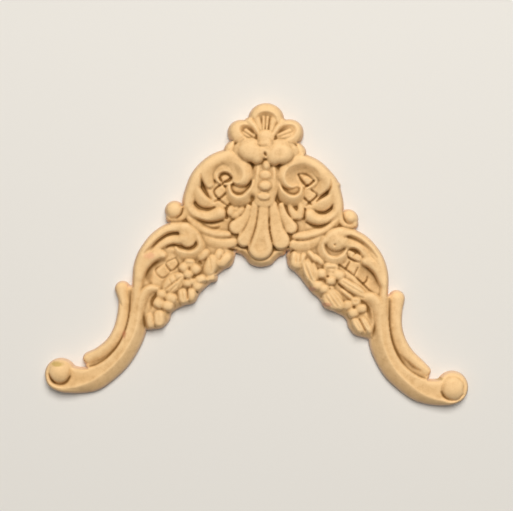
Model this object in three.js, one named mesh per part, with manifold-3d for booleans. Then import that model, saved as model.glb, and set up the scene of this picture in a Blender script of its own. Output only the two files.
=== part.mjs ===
// A pressed wood-pulp applique for furniture: an apex ornament with a flower crest, a shell
// between two C-scrolls, and two scrolled arms hung with flowers. It is one solid with a flat
// back, lying face up: +Z out of the face, +Y towards the crest, +X to the right.
// The origin is on the flat back, on the middle line, at the root of the shell.

import * as THREE from "three";
import { mergeVertices } from "three/addons/utils/BufferGeometryUtils.js";
import Module from "manifold-3d";

// Driving sizes, in millimetres.
const WIDTH = 120; // across the two feet
const THICKNESS = 8.5; // back to the highest petal
const EDGE = 2.0; // straight wall all round the rim
const GROUND = 3.4; // sunk ground between the carved forms

// The carving is drawn on a sheet this many units wide, and scaled to WIDTH.
const SHEET = 120;
// Every form is made this much deeper than the back, and the back is then cut flat.
const SPARE = 1.5;
// Facets: a rib's step is STEP and a share of its half width; broad ribs and domes have more.
const STEP = 2.6;
const STEP_SHARE = 0.4;
const BROAD = 2.2;
const RIB_FACETS = { broad: 6, fine: 4 };
const DOME_SIDES = { broad: 10, fine: 8 };
const DOME_LEVELS = { broad: [0, 35, 65], fine: [0, 48] };

const RIGHT = 1;
const LEFT = -1;
const SIDES = [LEFT, RIGHT];
const UP = Math.PI / 2;
const ROUND_END = 62; // degrees round a rib's end at its last ring

// Proportions shared by the forms of one kind.
const PETAL_WIDTH = 0.86; // a petal's width over its length
const FINGER_LAP = 1.4; // how far the fingers of a fluted leaf run into each other
const FINGER_FALL = 0.22; // how much shorter a leaf's outer fingers are
const PAD_TOP = 0.8; // a trellis pad's top over its foot

const wasm = await Module();
wasm.setup();

// Turns a closed three.js geometry into a solid that can be joined and cut.
function solid(geometry) {
  const bare = geometry.clone();
  bare.deleteAttribute("normal");
  bare.deleteAttribute("uv");
  const merged = mergeVertices(bare, 1e-4);
  return new wasm.Manifold(
    new wasm.Mesh({
      numProp: 3,
      vertProperties: merged.attributes.position.array,
      triVerts: new Uint32Array(merged.index.array),
    }),
  );
}

// A closed skin over rings of points, with a flat cap at each end.
function loft(rings) {
  const count = rings[0].length;
  const flat = rings.flat().flatMap((p) => [p.x, p.y, p.z]);
  const index = [];
  for (let r = 0; r + 1 < rings.length; r++) {
    for (let i = 0; i < count; i++) {
      const a = r * count + i;
      const b = r * count + ((i + 1) % count);
      index.push(a, a + count, b, b, a + count, b + count);
    }
  }
  const last = (rings.length - 1) * count;
  for (let i = 1; i + 1 < count; i++) {
    index.push(0, i, i + 1);
    index.push(last, last + i + 1, last + i);
  }
  const skin = new THREE.BufferGeometry();
  skin.setAttribute("position", new THREE.Float32BufferAttribute(flat, 3));
  skin.setIndex(index);
  return skin;
}

const onSheet = (x, y) => [(x * WIDTH) / SHEET, (y * WIDTH) / SHEET];
const widthOf = (w) => (w * WIDTH) / SHEET;
// Heights are shares of the thickness, and no crest drops to the wall's top.
const heightOf = (share) => Math.max(share * THICKNESS, EDGE + 0.1);

// A rib: a half-round moulding along a smooth line. A row is [x, y, half width, crest]; its
// ends are round. The section rises from the wall's top as half an ellipse.
function rib(rows, side = RIGHT) {
  const widest = Math.max(...rows.map(([, , w]) => w));
  const facets = RIB_FACETS[widest > BROAD ? "broad" : "fine"];
  const step = STEP + STEP_SHARE * widest;
  const along = new THREE.CatmullRomCurve3(
    rows.map(([x, y]) => new THREE.Vector3(...onSheet(side * x, y), 0)),
    false,
    "catmullrom",
  );
  const girth = new THREE.CatmullRomCurve3(
    rows.map(([, , w, crest]) => new THREE.Vector3(widthOf(w), heightOf(crest), 0)),
    false,
    "catmullrom",
  );
  const steps = Math.max(rows.length - 1, Math.round(along.getLength() / step));
  const stations = [];
  const add = (t, lean) => stations.push({ t, lean });
  add(0, -ROUND_END);
  for (let s = 0; s <= steps; s++) add(s / steps, 0);
  add(1, ROUND_END);
  const rings = stations.map(({ t, lean }) => {
    const turn = THREE.MathUtils.degToRad(lean);
    const centre = along.getPoint(t);
    const ahead = along.getPoint(Math.min(t + 0.01, 1));
    const heading = ahead.sub(along.getPoint(Math.max(t - 0.01, 0))).normalize();
    const across = new THREE.Vector3(-heading.y, heading.x, 0);
    const size = girth.getPoint(t);
    const half = size.x * Math.cos(turn);
    const rise = (size.y - EDGE) * Math.cos(turn);
    centre.addScaledVector(heading, size.x * Math.sin(turn));
    const ring = [centre.clone().addScaledVector(across, -half).setZ(-SPARE)];
    for (let k = 0; k <= facets; k++) {
      const angle = Math.PI - (Math.PI * k) / facets;
      const point = centre.clone().addScaledVector(across, half * Math.cos(angle));
      ring.push(point.setZ(EDGE + rise * Math.sin(angle)));
    }
    ring.push(centre.clone().addScaledVector(across, half).setZ(-SPARE));
    return ring;
  });
  return solid(loft(rings));
}

// A dome: half an ellipsoid on a straight wall. A row is [x, y, half length, half width,
// turn in degrees, crest].
function dome([x, y, long, wide, turn, share], side = RIGHT) {
  const kind = wide > BROAD ? "broad" : "fine";
  const rise = heightOf(share) - EDGE;
  const profile = DOME_LEVELS[kind].map((degrees) => {
    const angle = THREE.MathUtils.degToRad(degrees);
    return new THREE.Vector2(Math.cos(angle), EDGE + rise * Math.sin(angle));
  });
  profile.unshift(new THREE.Vector2(0, -SPARE), new THREE.Vector2(1, -SPARE));
  profile.push(new THREE.Vector2(0, EDGE + rise));
  const shape = new THREE.LatheGeometry(profile, DOME_SIDES[kind], UP).rotateX(UP);
  shape.scale(widthOf(long), widthOf(wide), 1);
  shape.rotateZ(side * THREE.MathUtils.degToRad(turn));
  shape.translate(...onSheet(side * x, y), 0);
  return solid(shape);
}

// A plate of ground: a smooth closed outline with a straight wall and a flat top.
function plate(points, top, side = RIGHT, perSpan = 1) {
  const outline = new THREE.CatmullRomCurve3(
    points.map(([x, y]) => new THREE.Vector3(...onSheet(side * x, y), 0)),
    true,
    "catmullrom",
  );
  const shape = new THREE.Shape(
    outline.getPoints(points.length * perSpan).map((p) => new THREE.Vector2(p.x, p.y)),
  );
  const slab = new THREE.ExtrudeGeometry(shape, { depth: top + SPARE, bevelEnabled: false });
  return solid(slab.translate(0, 0, -SPARE));
}

// A flower: petals round a centre, each a small dome.
function flower([x, y, reach, petal, first, crest, petals], side) {
  const parts = [];
  for (let k = 0; k < petals; k++) {
    const angle = first + (360 / petals) * k;
    const a = THREE.MathUtils.degToRad(angle);
    const at = [x + reach * Math.cos(a), y + reach * Math.sin(a)];
    parts.push(dome([...at, petal, petal * PETAL_WIDTH, angle, crest], side));
  }
  return parts;
}

// A fluted leaf: fingers side by side, the middle ones the longest.
function leaf([x, y, long, wide, turn, crest, fingers], side) {
  const parts = [];
  const a = THREE.MathUtils.degToRad(turn);
  for (let k = 0; k < fingers; k++) {
    const off = fingers === 1 ? 0 : (2 * k) / (fingers - 1) - 1;
    const shift = (off * wide * (fingers - 1)) / fingers;
    const at = [x - shift * Math.sin(a), y + shift * Math.cos(a)];
    const finger = (wide / fingers) * (fingers === 1 ? 1 : FINGER_LAP);
    const reach = long * (1 - FINGER_FALL * off * off);
    parts.push(dome([...at, reach, finger, turn, crest], side));
  }
  return parts;
}

// Trellis: diamond pads set in rows on the sunk ground, each row [x, y, half, turn, crest].
function trellis(pads, side) {
  return pads.map(([x, y, half, turn, share]) => {
    const pad = new THREE.CylinderGeometry(half * PAD_TOP, half, heightOf(share) + SPARE, 4);
    pad.rotateX(UP).scale(WIDTH / SHEET, WIDTH / SHEET, 1);
    pad.rotateZ(side * THREE.MathUtils.degToRad(turn));
    return solid(pad.translate(...onSheet(side * x, y), (heightOf(share) - SPARE) / 2));
  });
}

// The crest: a flower with a scooped top petal, two scooped side petals, two full lower
// petals and a button.
const CREST_GROUND = [
  [0, 27.6], [3.2, 26], [6.4, 24.0], [8.6, 22.0], [9.2, 18.6], [10.6, 15.8], [7, 13],
  [0, 12], [-7, 13], [-10.6, 15.8], [-9.2, 18.6], [-8.6, 22.0], [-6.4, 24.0], [-3.2, 26],
];
const TOP_PETAL_RIM = [
  [-4.0, 23.7, 1.3, 0.58], [-3.4, 25.7, 1.8, 0.66], [-1.5, 27.1, 2.0, 0.72],
  [1.2, 27.2, 2.0, 0.72], [3.1, 25.9, 1.9, 0.66], [4.4, 23.9, 1.4, 0.58],
];
const SIDE_PETAL_RIM = [
  [3.9, 22.0, 1.1, 0.62], [6.0, 22.6, 1.7, 0.67], [8.3, 21.7, 1.95, 0.7],
  [8.8, 19.6, 1.95, 0.68], [8.8, 17.2, 1.7, 0.62],
];
const LOWER_PETAL = [4.0, 14.6, 4.2, 3.6, -8, 1.0];
const BUTTON = [0, 18.9, 2.6, 2.4, 0, 0.9];
// Fine ribs that fan out over the scooped petals, from a point on the middle line: their
// directions in degrees from +Y, and where each begins and ends.
const CREST_FLOOR = 0.45;
const TOP_RAYS = { y: 19.0, turns: [-24, -8, 8, 24], near: 1.6, far: 6.0, crest: 0.6 };
const SIDE_RAYS = { y: 17.6, turns: [58, 84], near: 2.2, far: 7.0, crest: 0.58 };
const RAY_WIDTH = [0.45, 0.7];
const RAY_FALL = 0.06;

function rays({ y, turns, near, far, crest }, side = RIGHT) {
  return turns.map((degrees) => {
    const a = THREE.MathUtils.degToRad(degrees);
    const at = (r) => [r * Math.sin(a), y + r * Math.cos(a)];
    const [thin, thick] = RAY_WIDTH;
    return rib([[...at(near), thin, crest], [...at(far), thick, crest - RAY_FALL]], side);
  });
}

function crest() {
  const parts = [plate(CREST_GROUND, CREST_FLOOR * THICKNESS)];
  parts.push(rib(TOP_PETAL_RIM), dome(BUTTON), ...rays(TOP_RAYS));
  for (const side of SIDES) {
    parts.push(rib(SIDE_PETAL_RIM, side), dome(LOWER_PETAL, side), ...rays(SIDE_RAYS, side));
  }
  return parts;
}

// The cartouche: broad shoulders, leaf lobes and a pair of volutes round a sunk trellis, with
// a small curled ball outside each shoulder.
const CARTOUCHE_GROUND = [
  [0, 15], [9, 14.2], [15, 12], [19.4, 7], [21.4, 1], [20.6, -4], [17.6, -9], [13, -12],
  [8.4, -12.4], [0, -13], [-8.4, -12.4], [-13, -12], [-17.6, -9], [-20.6, -4], [-21.4, 1],
  [-19.4, 7], [-15, 12], [-9, 14.2],
];
const SHOULDER = [
  [8.4, 13.9, 2.6, 0.7], [11.4, 13.0, 2.5, 0.72], [14.2, 11.8, 2.5, 0.74],
  [16.8, 9.6, 2.5, 0.74], [18.7, 6.7, 2.4, 0.72], [20.1, 3.3, 2.4, 0.66],
  [20.8, 0.0, 2.2, 0.62],
];
const LOBES = [
  [[15.8, 10.0, 2.7, 0.72], [15.4, 8.0, 2.7, 0.72], [15.0, 6.6, 2.3, 0.64]],
  [[20.2, 4.6, 1.6, 0.62], [18.7, 2.2, 1.8, 0.64], [16.6, 0.7, 1.8, 0.62],
    [14.3, 0.4, 1.4, 0.56]],
  [[20.4, 0.4, 1.5, 0.58], [19.1, -2.1, 1.8, 0.62], [16.8, -3.4, 1.9, 0.64],
    [14.6, -3.1, 1.9, 0.64], [13.0, -2.3, 2.1, 0.64]],
  [[20.1, -3.4, 1.5, 0.54], [18.6, -5.9, 1.8, 0.57], [16.1, -7.4, 1.9, 0.59],
    [13.0, -8.0, 1.9, 0.58], [10.0, -7.6, 1.6, 0.54]],
  [[20.2, -5.2, 1.6, 0.46], [17.6, -8.8, 1.9, 0.52], [14.6, -10.7, 2.0, 0.54],
    [11.3, -11.3, 2.0, 0.54], [8.4, -10.8, 1.7, 0.52]],
];
const VOLUTE_NECK = [[11.0, 12.6, 2.2, 0.72], [8.2, 11.4, 2.6, 0.78], [6.8, 9.6, 2.9, 0.84]];
const VOLUTE_EYE = [6.6, 7.8, 3.1, 2.9, 0, 0.88];
const VOLUTE_LIP = [
  [3.7, 6.8, 1.0, 0.66], [4.2, 4.4, 1.4, 0.72], [6.3, 2.7, 1.5, 0.78],
  [8.8, 3.0, 1.45, 0.76], [10.2, 5.2, 1.1, 0.66],
];
const CURL_RIM = [
  [21.6, -0.2, 1.2, 0.54], [22.0, -3.2, 1.2, 0.52], [23.8, -4.7, 1.3, 0.5],
  [25.9, -4.7, 1.2, 0.46],
];
const CURL_BALL = [24.9, -2.1, 2.7, 2.6, 0, 0.62];
const TRELLIS = [
  [12.4, 3.9, 1.9, 0, 0.52], [11.2, 7.4, 1.8, 0, 0.5], [10.6, 0.9, 1.6, 0, 0.5],
  [14.3, 1.4, 1.4, 0, 0.48],
];

function cartouche() {
  const parts = [plate(CARTOUCHE_GROUND, GROUND)];
  for (const side of SIDES) {
    parts.push(rib(SHOULDER, side), rib(VOLUTE_NECK, side), rib(VOLUTE_LIP, side));
    LOBES.forEach((rows) => parts.push(rib(rows, side)));
    parts.push(dome(VOLUTE_EYE, side));
    parts.push(rib(CURL_RIM, side), dome(CURL_BALL, side));
    parts.push(...trellis(TRELLIS, side));
  }
  return parts;
}

// The shell: a column of beads over five flutes that spread into round ends, and a small
// leaf in the angle on each side.
const BEADS = [
  [0.2, 11.2, 1.4, 1.9, 0, 0.88], [0.2, 8.4, 1.9, 1.6, 0, 0.88], [0.2, 5.8, 1.9, 1.5, 0, 0.9],
  [0, 2.7, 2.0, 1.5, 0, 0.84], [0, 0.9, 2.0, 1.1, 0, 0.74],
];
const STRAP = [[2.3, 11.4, 1.0, 0.68], [2.4, 8, 1.0, 0.68], [2.8, 4.6, 1.0, 0.58]];
const MIDDLE_FLUTE = [
  [0, 0.2, 1.5, 0.62], [0, -4, 1.7, 0.64], [-0.1, -7.6, 2.1, 0.68], [-0.2, -10.4, 2.9, 0.7],
  [-0.2, -12.6, 3.7, 0.7],
];
const INNER_FLUTE = [
  [2.8, 0, 1.3, 0.58], [3.3, -4.5, 1.8, 0.62], [4.8, -8.5, 2.1, 0.66], [6.1, -10.9, 2.2, 0.64],
];
const OUTER_FLUTE = [
  [5.0, -0.5, 1.2, 0.54], [6.3, -3.6, 1.8, 0.58], [7.8, -5.8, 2.0, 0.62], [9.0, -7.0, 2.0, 0.6],
];
const SHELL_GROUND = [
  [7.3, -11.4], [6.6, -13.6], [5.3, -14.1], [4.1, -15.2], [2.7, -16.6], [-0.2, -17.3],
  [-3.0, -16.6], [-4.4, -15.0], [-5.8, -13.9], [-7.0, -13.5], [-7.6, -11.4],
];
const BUD = {
  [LEFT]: [8.4, -1.8, 2.4, 2.1, 20, 0.58, 3],
  [RIGHT]: [9.3, -1.4, 2.4, 2.1, 80, 0.58, 2],
};

function shell() {
  const parts = [plate(SHELL_GROUND, EDGE, RIGHT, 2), rib(MIDDLE_FLUTE)];
  BEADS.forEach((row) => parts.push(dome(row)));
  for (const side of SIDES) {
    parts.push(rib(INNER_FLUTE, side), rib(OUTER_FLUTE, side), rib(STRAP, side));
    parts.push(...leaf(BUD[side], side));
  }
  return parts;
}

// An arm: a C-scroll with its volute, a leaf lobe, the stem down to the foot, and a sprig.
const SCROLL_BAND = [
  [34.6, -22.6, 1.7, 0.56], [34.0, -18.2, 2.0, 0.58], [32.4, -13.9, 2.1, 0.62],
  [29.8, -10.5, 2.1, 0.64], [26.4, -8.4, 2.1, 0.64], [22.4, -7.5, 2.0, 0.66],
  [18.9, -8.4, 1.9, 0.66], [17.4, -10.9, 1.6, 0.66], [18.5, -13.3, 1.5, 0.64],
  [20.9, -14.3, 1.5, 0.62], [23.4, -13.4, 1.1, 0.54],
];
const SCROLL_INNER = [
  [32.0, -16.4, 1.2, 0.52], [29.2, -12.9, 1.7, 0.56], [26.0, -11.1, 1.8, 0.6],
  [23.2, -10.4, 2.0, 0.66],
];
const SCROLL_EYE = [21.0, -10.2, 2.8, 2.6, 0, 0.78];
const SCROLL_LOBE = [
  [33.4, -19.9, 1.4, 0.54], [31.8, -17.2, 1.9, 0.57], [29.6, -15.6, 2.1, 0.57],
  [27.7, -15.3, 1.8, 0.53],
];
const STEM_LOBE = [
  [33.0, -28.6, 1.7, 0.54], [32.2, -26.2, 1.7, 0.56], [30.6, -24.7, 1.6, 0.53],
  [28.8, -24.2, 1.3, 0.48],
];
const STEM = [
  [34.0, -22.6, 2.4, 0.52], [33.7, -29.0, 2.6, 0.54], [34.2, -35.6, 2.8, 0.54],
  [36.1, -41.0, 2.85, 0.54], [38.8, -45.1, 2.9, 0.52], [42.1, -48.3, 3.1, 0.5],
  [46.1, -50.4, 3.5, 0.48], [50.6, -51.0, 3.8, 0.44], [54.0, -50.5, 4.1, 0.38],
];
const FOOT_PAD = [55.4, -49.6, 4.6, 4.7, 0, 0.36];
const FOOT_RIM = [
  [50.6, -53.4, 1.0, 0.38], [54.6, -53.2, 0.9, 0.44], [58.0, -51.8, 0.85, 0.46],
  [59.1, -49.2, 0.75, 0.44], [58.3, -46.9, 0.6, 0.38],
];
const FOOT_BALL = [56.0, -49.1, 2.9, 2.8, 0, 0.66];
// The web is the low ground that closes the groove between the stem and the sprig.
const WEB = [
  [36.9, -25.0, 1.3, 0], [36.2, -31.0, 1.2, 0], [37.0, -36.6, 1.2, 0], [39.4, -41.2, 1.2, 0],
  [43.2, -44.8, 1.2, 0], [47.6, -46.3, 0.8, 0],
];
const SPRIG = [
  [38.9, -24.6, 2.15, 0.42], [38.2, -28.4, 2.1, 0.44], [38.3, -32.8, 2.2, 0.44],
  [39.5, -36.9, 2.25, 0.44], [41.8, -40.5, 2.25, 0.44], [45.1, -43.4, 2.1, 0.42],
  [47.8, -45.0, 1.7, 0.38],
];
const ARM_TRELLIS = {
  [LEFT]: [
    [25.2, -17.2, 1.9, 8, 0.5], [28.0, -19.7, 1.9, 8, 0.48], [30.8, -21.6, 1.6, 8, 0.46],
  ],
  [RIGHT]: [
    [25.8, -16.6, 1.9, -8, 0.5], [28.5, -19.3, 1.9, -8, 0.48], [25.7, -13.2, 1.4, -8, 0.5],
    [31.0, -21.8, 1.6, -8, 0.46],
  ],
};
const ARM_GROUND = {
  [LEFT]: [
    [17, -3.4], [24.6, -4.2], [29, -9], [33.4, -14.5], [35.2, -21], [34.6, -29], [32.6, -35.4],
    [30.4, -36.0], [27.2, -35.4], [25.3, -33.2], [24.6, -31.0], [21.4, -29.0], [18.4, -28.0],
    [16.9, -25.2], [14.0, -22.2], [12.0, -19.8], [10.4, -18.4], [8.4, -17.3], [7.6, -15.2],
    [8.2, -12.0],
  ],
  [RIGHT]: [
    [17, -3.4], [24.6, -4.2], [29, -9], [33.4, -14.5], [35.2, -21], [34.6, -29], [32.6, -36.2],
    [29.9, -36.2], [27.0, -35.4], [25.3, -33.4], [24.4, -31.0], [21.6, -29.4], [18.4, -28.2],
    [16.8, -25.8], [14.2, -23.6], [11.8, -20.6], [9.8, -18.5], [8.0, -17.2], [7.3, -15.2],
    [7.9, -12.0],
  ],
};

// The garland on each arm differs from left to right: leaves [x, y, half length, half width, turn, crest,
// fingers] and flowers [x, y, reach, petal, first petal's angle, crest, petals].
const LEAVES = {
  [LEFT]: [
    [16.3, -14.5, 2.8, 1.8, -36, 0.55, 1], [13.9, -17.4, 3.4, 2.0, -66, 0.57, 1],
    [11.0, -14.7, 2.7, 1.8, 20, 0.54, 1], [10.1, -16.5, 2.2, 1.7, 40, 0.5, 1],
    [25.0, -22.2, 3.6, 3.4, -28, 0.56, 3], [22.1, -26.4, 3.1, 1.9, -78, 0.55, 1],
    [19.4, -25.6, 2.8, 2.1, -74, 0.56, 1], [27.5, -32.5, 3.0, 2.1, 84, 0.52, 1],
    [30.6, -32.6, 3.2, 1.8, 80, 0.5, 1],
  ],
  [RIGHT]: [
    [10.1, -14.6, 2.9, 2.5, 84, 0.54, 2], [13.9, -18.2, 4.0, 2.6, -66, 0.57, 3],
    [14.7, -14.2, 2.8, 1.5, -56, 0.54, 1], [17.0, -14.0, 2.3, 1.3, -60, 0.5, 1],
    [25.4, -21.4, 5.2, 3.2, -38, 0.56, 3], [21.2, -26.0, 3.5, 3.6, 62, 0.56, 3],
    [27.1, -32.2, 3.0, 2.0, 80, 0.52, 1], [29.8, -32.2, 3.4, 1.9, -70, 0.5, 1],
  ],
};
const FLOWERS = {
  [LEFT]: [
    [20.3, -18.5, 1.9, 2.1, 20, 0.63, 4], [18.1, -22.0, 1.7, 1.9, 50, 0.58, 4],
    [26.8, -27.7, 1.9, 2.1, 42, 0.6, 4],
  ],
  [RIGHT]: [
    [19.4, -18.5, 2.0, 2.1, 0, 0.63, 4], [17.3, -22.1, 1.7, 1.9, 40, 0.58, 4],
    [26.3, -27.8, 1.9, 2.0, -10, 0.6, 4],
  ],
};

const SCROLL_RIBS = [SCROLL_BAND, SCROLL_INNER, SCROLL_LOBE];
const STEM_RIBS = [WEB, STEM_LOBE, STEM, SPRIG, FOOT_RIM];
const ARM_DOMES = [SCROLL_EYE, FOOT_PAD, FOOT_BALL];

function arm(side) {
  const parts = [plate(ARM_GROUND[side], GROUND, side)];
  parts.push(...[...SCROLL_RIBS, ...STEM_RIBS].map((rows) => rib(rows, side)));
  parts.push(...ARM_DOMES.map((row) => dome(row, side)));
  parts.push(...trellis(ARM_TRELLIS[side], side));
  LEAVES[side].forEach((row) => parts.push(...leaf(row, side)));
  FLOWERS[side].forEach((row) => parts.push(...flower(row, side)));
  return parts;
}

// Joins every form into one, then cuts the back flat.
function applique() {
  const parts = [...crest(), ...cartouche(), ...shell(), ...arm(LEFT), ...arm(RIGHT)];
  let whole = parts[0];
  for (const part of parts.slice(1)) whole = whole.add(part);
  const block = new THREE.BoxGeometry(2 * WIDTH, 2 * WIDTH, 2 * SPARE);
  whole = whole.subtract(solid(block.translate(0, 0, -SPARE)));
  const { vertProperties, triVerts } = whole.getMesh();
  const geometry = new THREE.BufferGeometry();
  geometry.setAttribute("position", new THREE.BufferAttribute(vertProperties, 3));
  geometry.setIndex(new THREE.BufferAttribute(triVerts, 1));
  geometry.computeVertexNormals();
  return geometry;
}

const pulp = new THREE.MeshStandardMaterial({ color: 0xe6bd86, roughness: 0.62, metalness: 0 });
const root = new THREE.Group();
const piece = new THREE.Mesh(applique(), pulp);
piece.name = "applique";
root.add(piece);

export default root;
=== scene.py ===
"""A pressed wood-pulp applique for furniture: an apex ornament with a flower crest, a shell between two
C-scrolls, and two scrolled arms hung with flowers. It is one moulding with a flat back, lying face up."""

import bmesh
import bpy
import numpy as np
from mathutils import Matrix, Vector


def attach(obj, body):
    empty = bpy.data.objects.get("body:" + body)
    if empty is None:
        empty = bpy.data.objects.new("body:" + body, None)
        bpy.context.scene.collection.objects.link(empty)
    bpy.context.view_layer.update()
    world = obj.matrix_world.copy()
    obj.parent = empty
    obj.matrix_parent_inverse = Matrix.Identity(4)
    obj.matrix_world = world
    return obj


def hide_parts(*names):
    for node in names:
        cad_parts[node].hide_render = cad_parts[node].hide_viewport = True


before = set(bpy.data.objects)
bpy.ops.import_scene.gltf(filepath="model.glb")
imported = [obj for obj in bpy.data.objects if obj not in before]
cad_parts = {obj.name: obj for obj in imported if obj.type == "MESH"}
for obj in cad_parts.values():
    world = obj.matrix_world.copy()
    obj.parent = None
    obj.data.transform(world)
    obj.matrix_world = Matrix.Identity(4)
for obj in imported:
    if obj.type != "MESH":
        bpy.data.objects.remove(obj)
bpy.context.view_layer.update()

# Sizes of the moulding, in millimetres, in the frame of the model: x right, y towards the crest, z out.
# The grid's pitch and how far it reaches, the top of the solids and how far the face stays under it, the
# foot of a form that names no other, the two steps of the ground, and the lip, which is the straight wall
# at the outline.
MM_IN_METRE = 1000
PITCH = 0.2
ACROSS = (-61.0, 61.0)
UP = (-56.0, 30.4)
TOP = 8.5
UNDER_TOP = 0.1
EDGE = 2.0
GROUND = 3.3
FLOOR = 3.7
LIP = 1.0
LEFT, RIGHT = -1, 1
BOTH = (LEFT, RIGHT)

# A smooth line is worked out at so many places a span. Scoops and dishes end so far out, as a share of
# their half width. So many rings of the grid are peeled to measure how deep inside the outline a point is.
SPAN_PLACES = 24
SCOOP_END = 1.6
DISH_END = 1.5
PEELS = 16

# So much a millimetre a form falls past its edge, and the face climbs in from the outline's lip. The
# other two stand for no lid and for nowhere.
STEEP = 7.0
SKIRT = 5.0
NO_LID = 99.0
NOWHERE = -9.0

# The unevenness of pressed pulp: the lumps' width and spread in millimetres, and their seed.
UNEVEN = ((1.1, 0.035, 5), (3.0, 0.05, 6))


def smooth_line(rows, spacing=0.14):
    """A smooth line through the rows. Each span is a cubic from row to row that leaves each of them with
    half the step between its two neighbours, for every column alike. The line is then sampled at even
    steps along x and y."""
    p = np.asarray(rows, float)
    p = np.vstack([2 * p[0] - p[1], p, 2 * p[-1] - p[-2]])
    t = np.linspace(0, 1, SPAN_PLACES, endpoint=False)[:, None]
    spans = []
    for a, b, c, d in zip(p, p[1:], p[2:], p[3:]):
        spans.append(
            b + 0.5 * t * (c - a + t * (2 * a - 5 * b + 4 * c - d + t * (3 * (b - c) + d - a)))
        )
    line = np.vstack([*spans, p[-2:-1]])
    run = np.concatenate([[0], np.cumsum(np.hypot(*np.diff(line[:, :2], axis=0).T))])
    even = np.linspace(0, run[-1], max(int(run[-1] / spacing), 2) + 1)
    return np.stack([np.interp(even, run, column) for column in line.T], 1)


def smooth_max(a, b, soft):
    """The higher of two heights, with the crease between them filled over about soft."""
    return 0.5 * (a + b + np.sqrt((a - b) ** 2 + soft * soft))


def smooth_min(a, b, soft):
    """The lower of two heights, with the edge between them rounded over about soft."""
    return 0.5 * (a + b - np.sqrt((a - b) ** 2 + soft * soft))


def blurred(field, width):
    """The field averaged over a bell-shaped patch of that width in grid steps: each wave that it is made
    of is weakened by exp(-2 pi^2 width^2 frequency^2)."""
    fy = np.fft.fftfreq(field.shape[0])[:, None]
    fx = np.fft.rfftfreq(field.shape[1])[None, :]
    keep = np.exp(-2 * np.pi**2 * width**2 * (fx * fx + fy * fy))
    return np.fft.irfft2(np.fft.rfft2(field) * keep, s=field.shape)


def uneven(shape, width, spread, seed):
    """Seeded noise blurred to lumps of that width in grid steps and scaled to a spread in millimetres."""
    noise = blurred(np.random.default_rng(seed).standard_normal(shape), width)
    return noise * (spread / noise.std())


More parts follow.
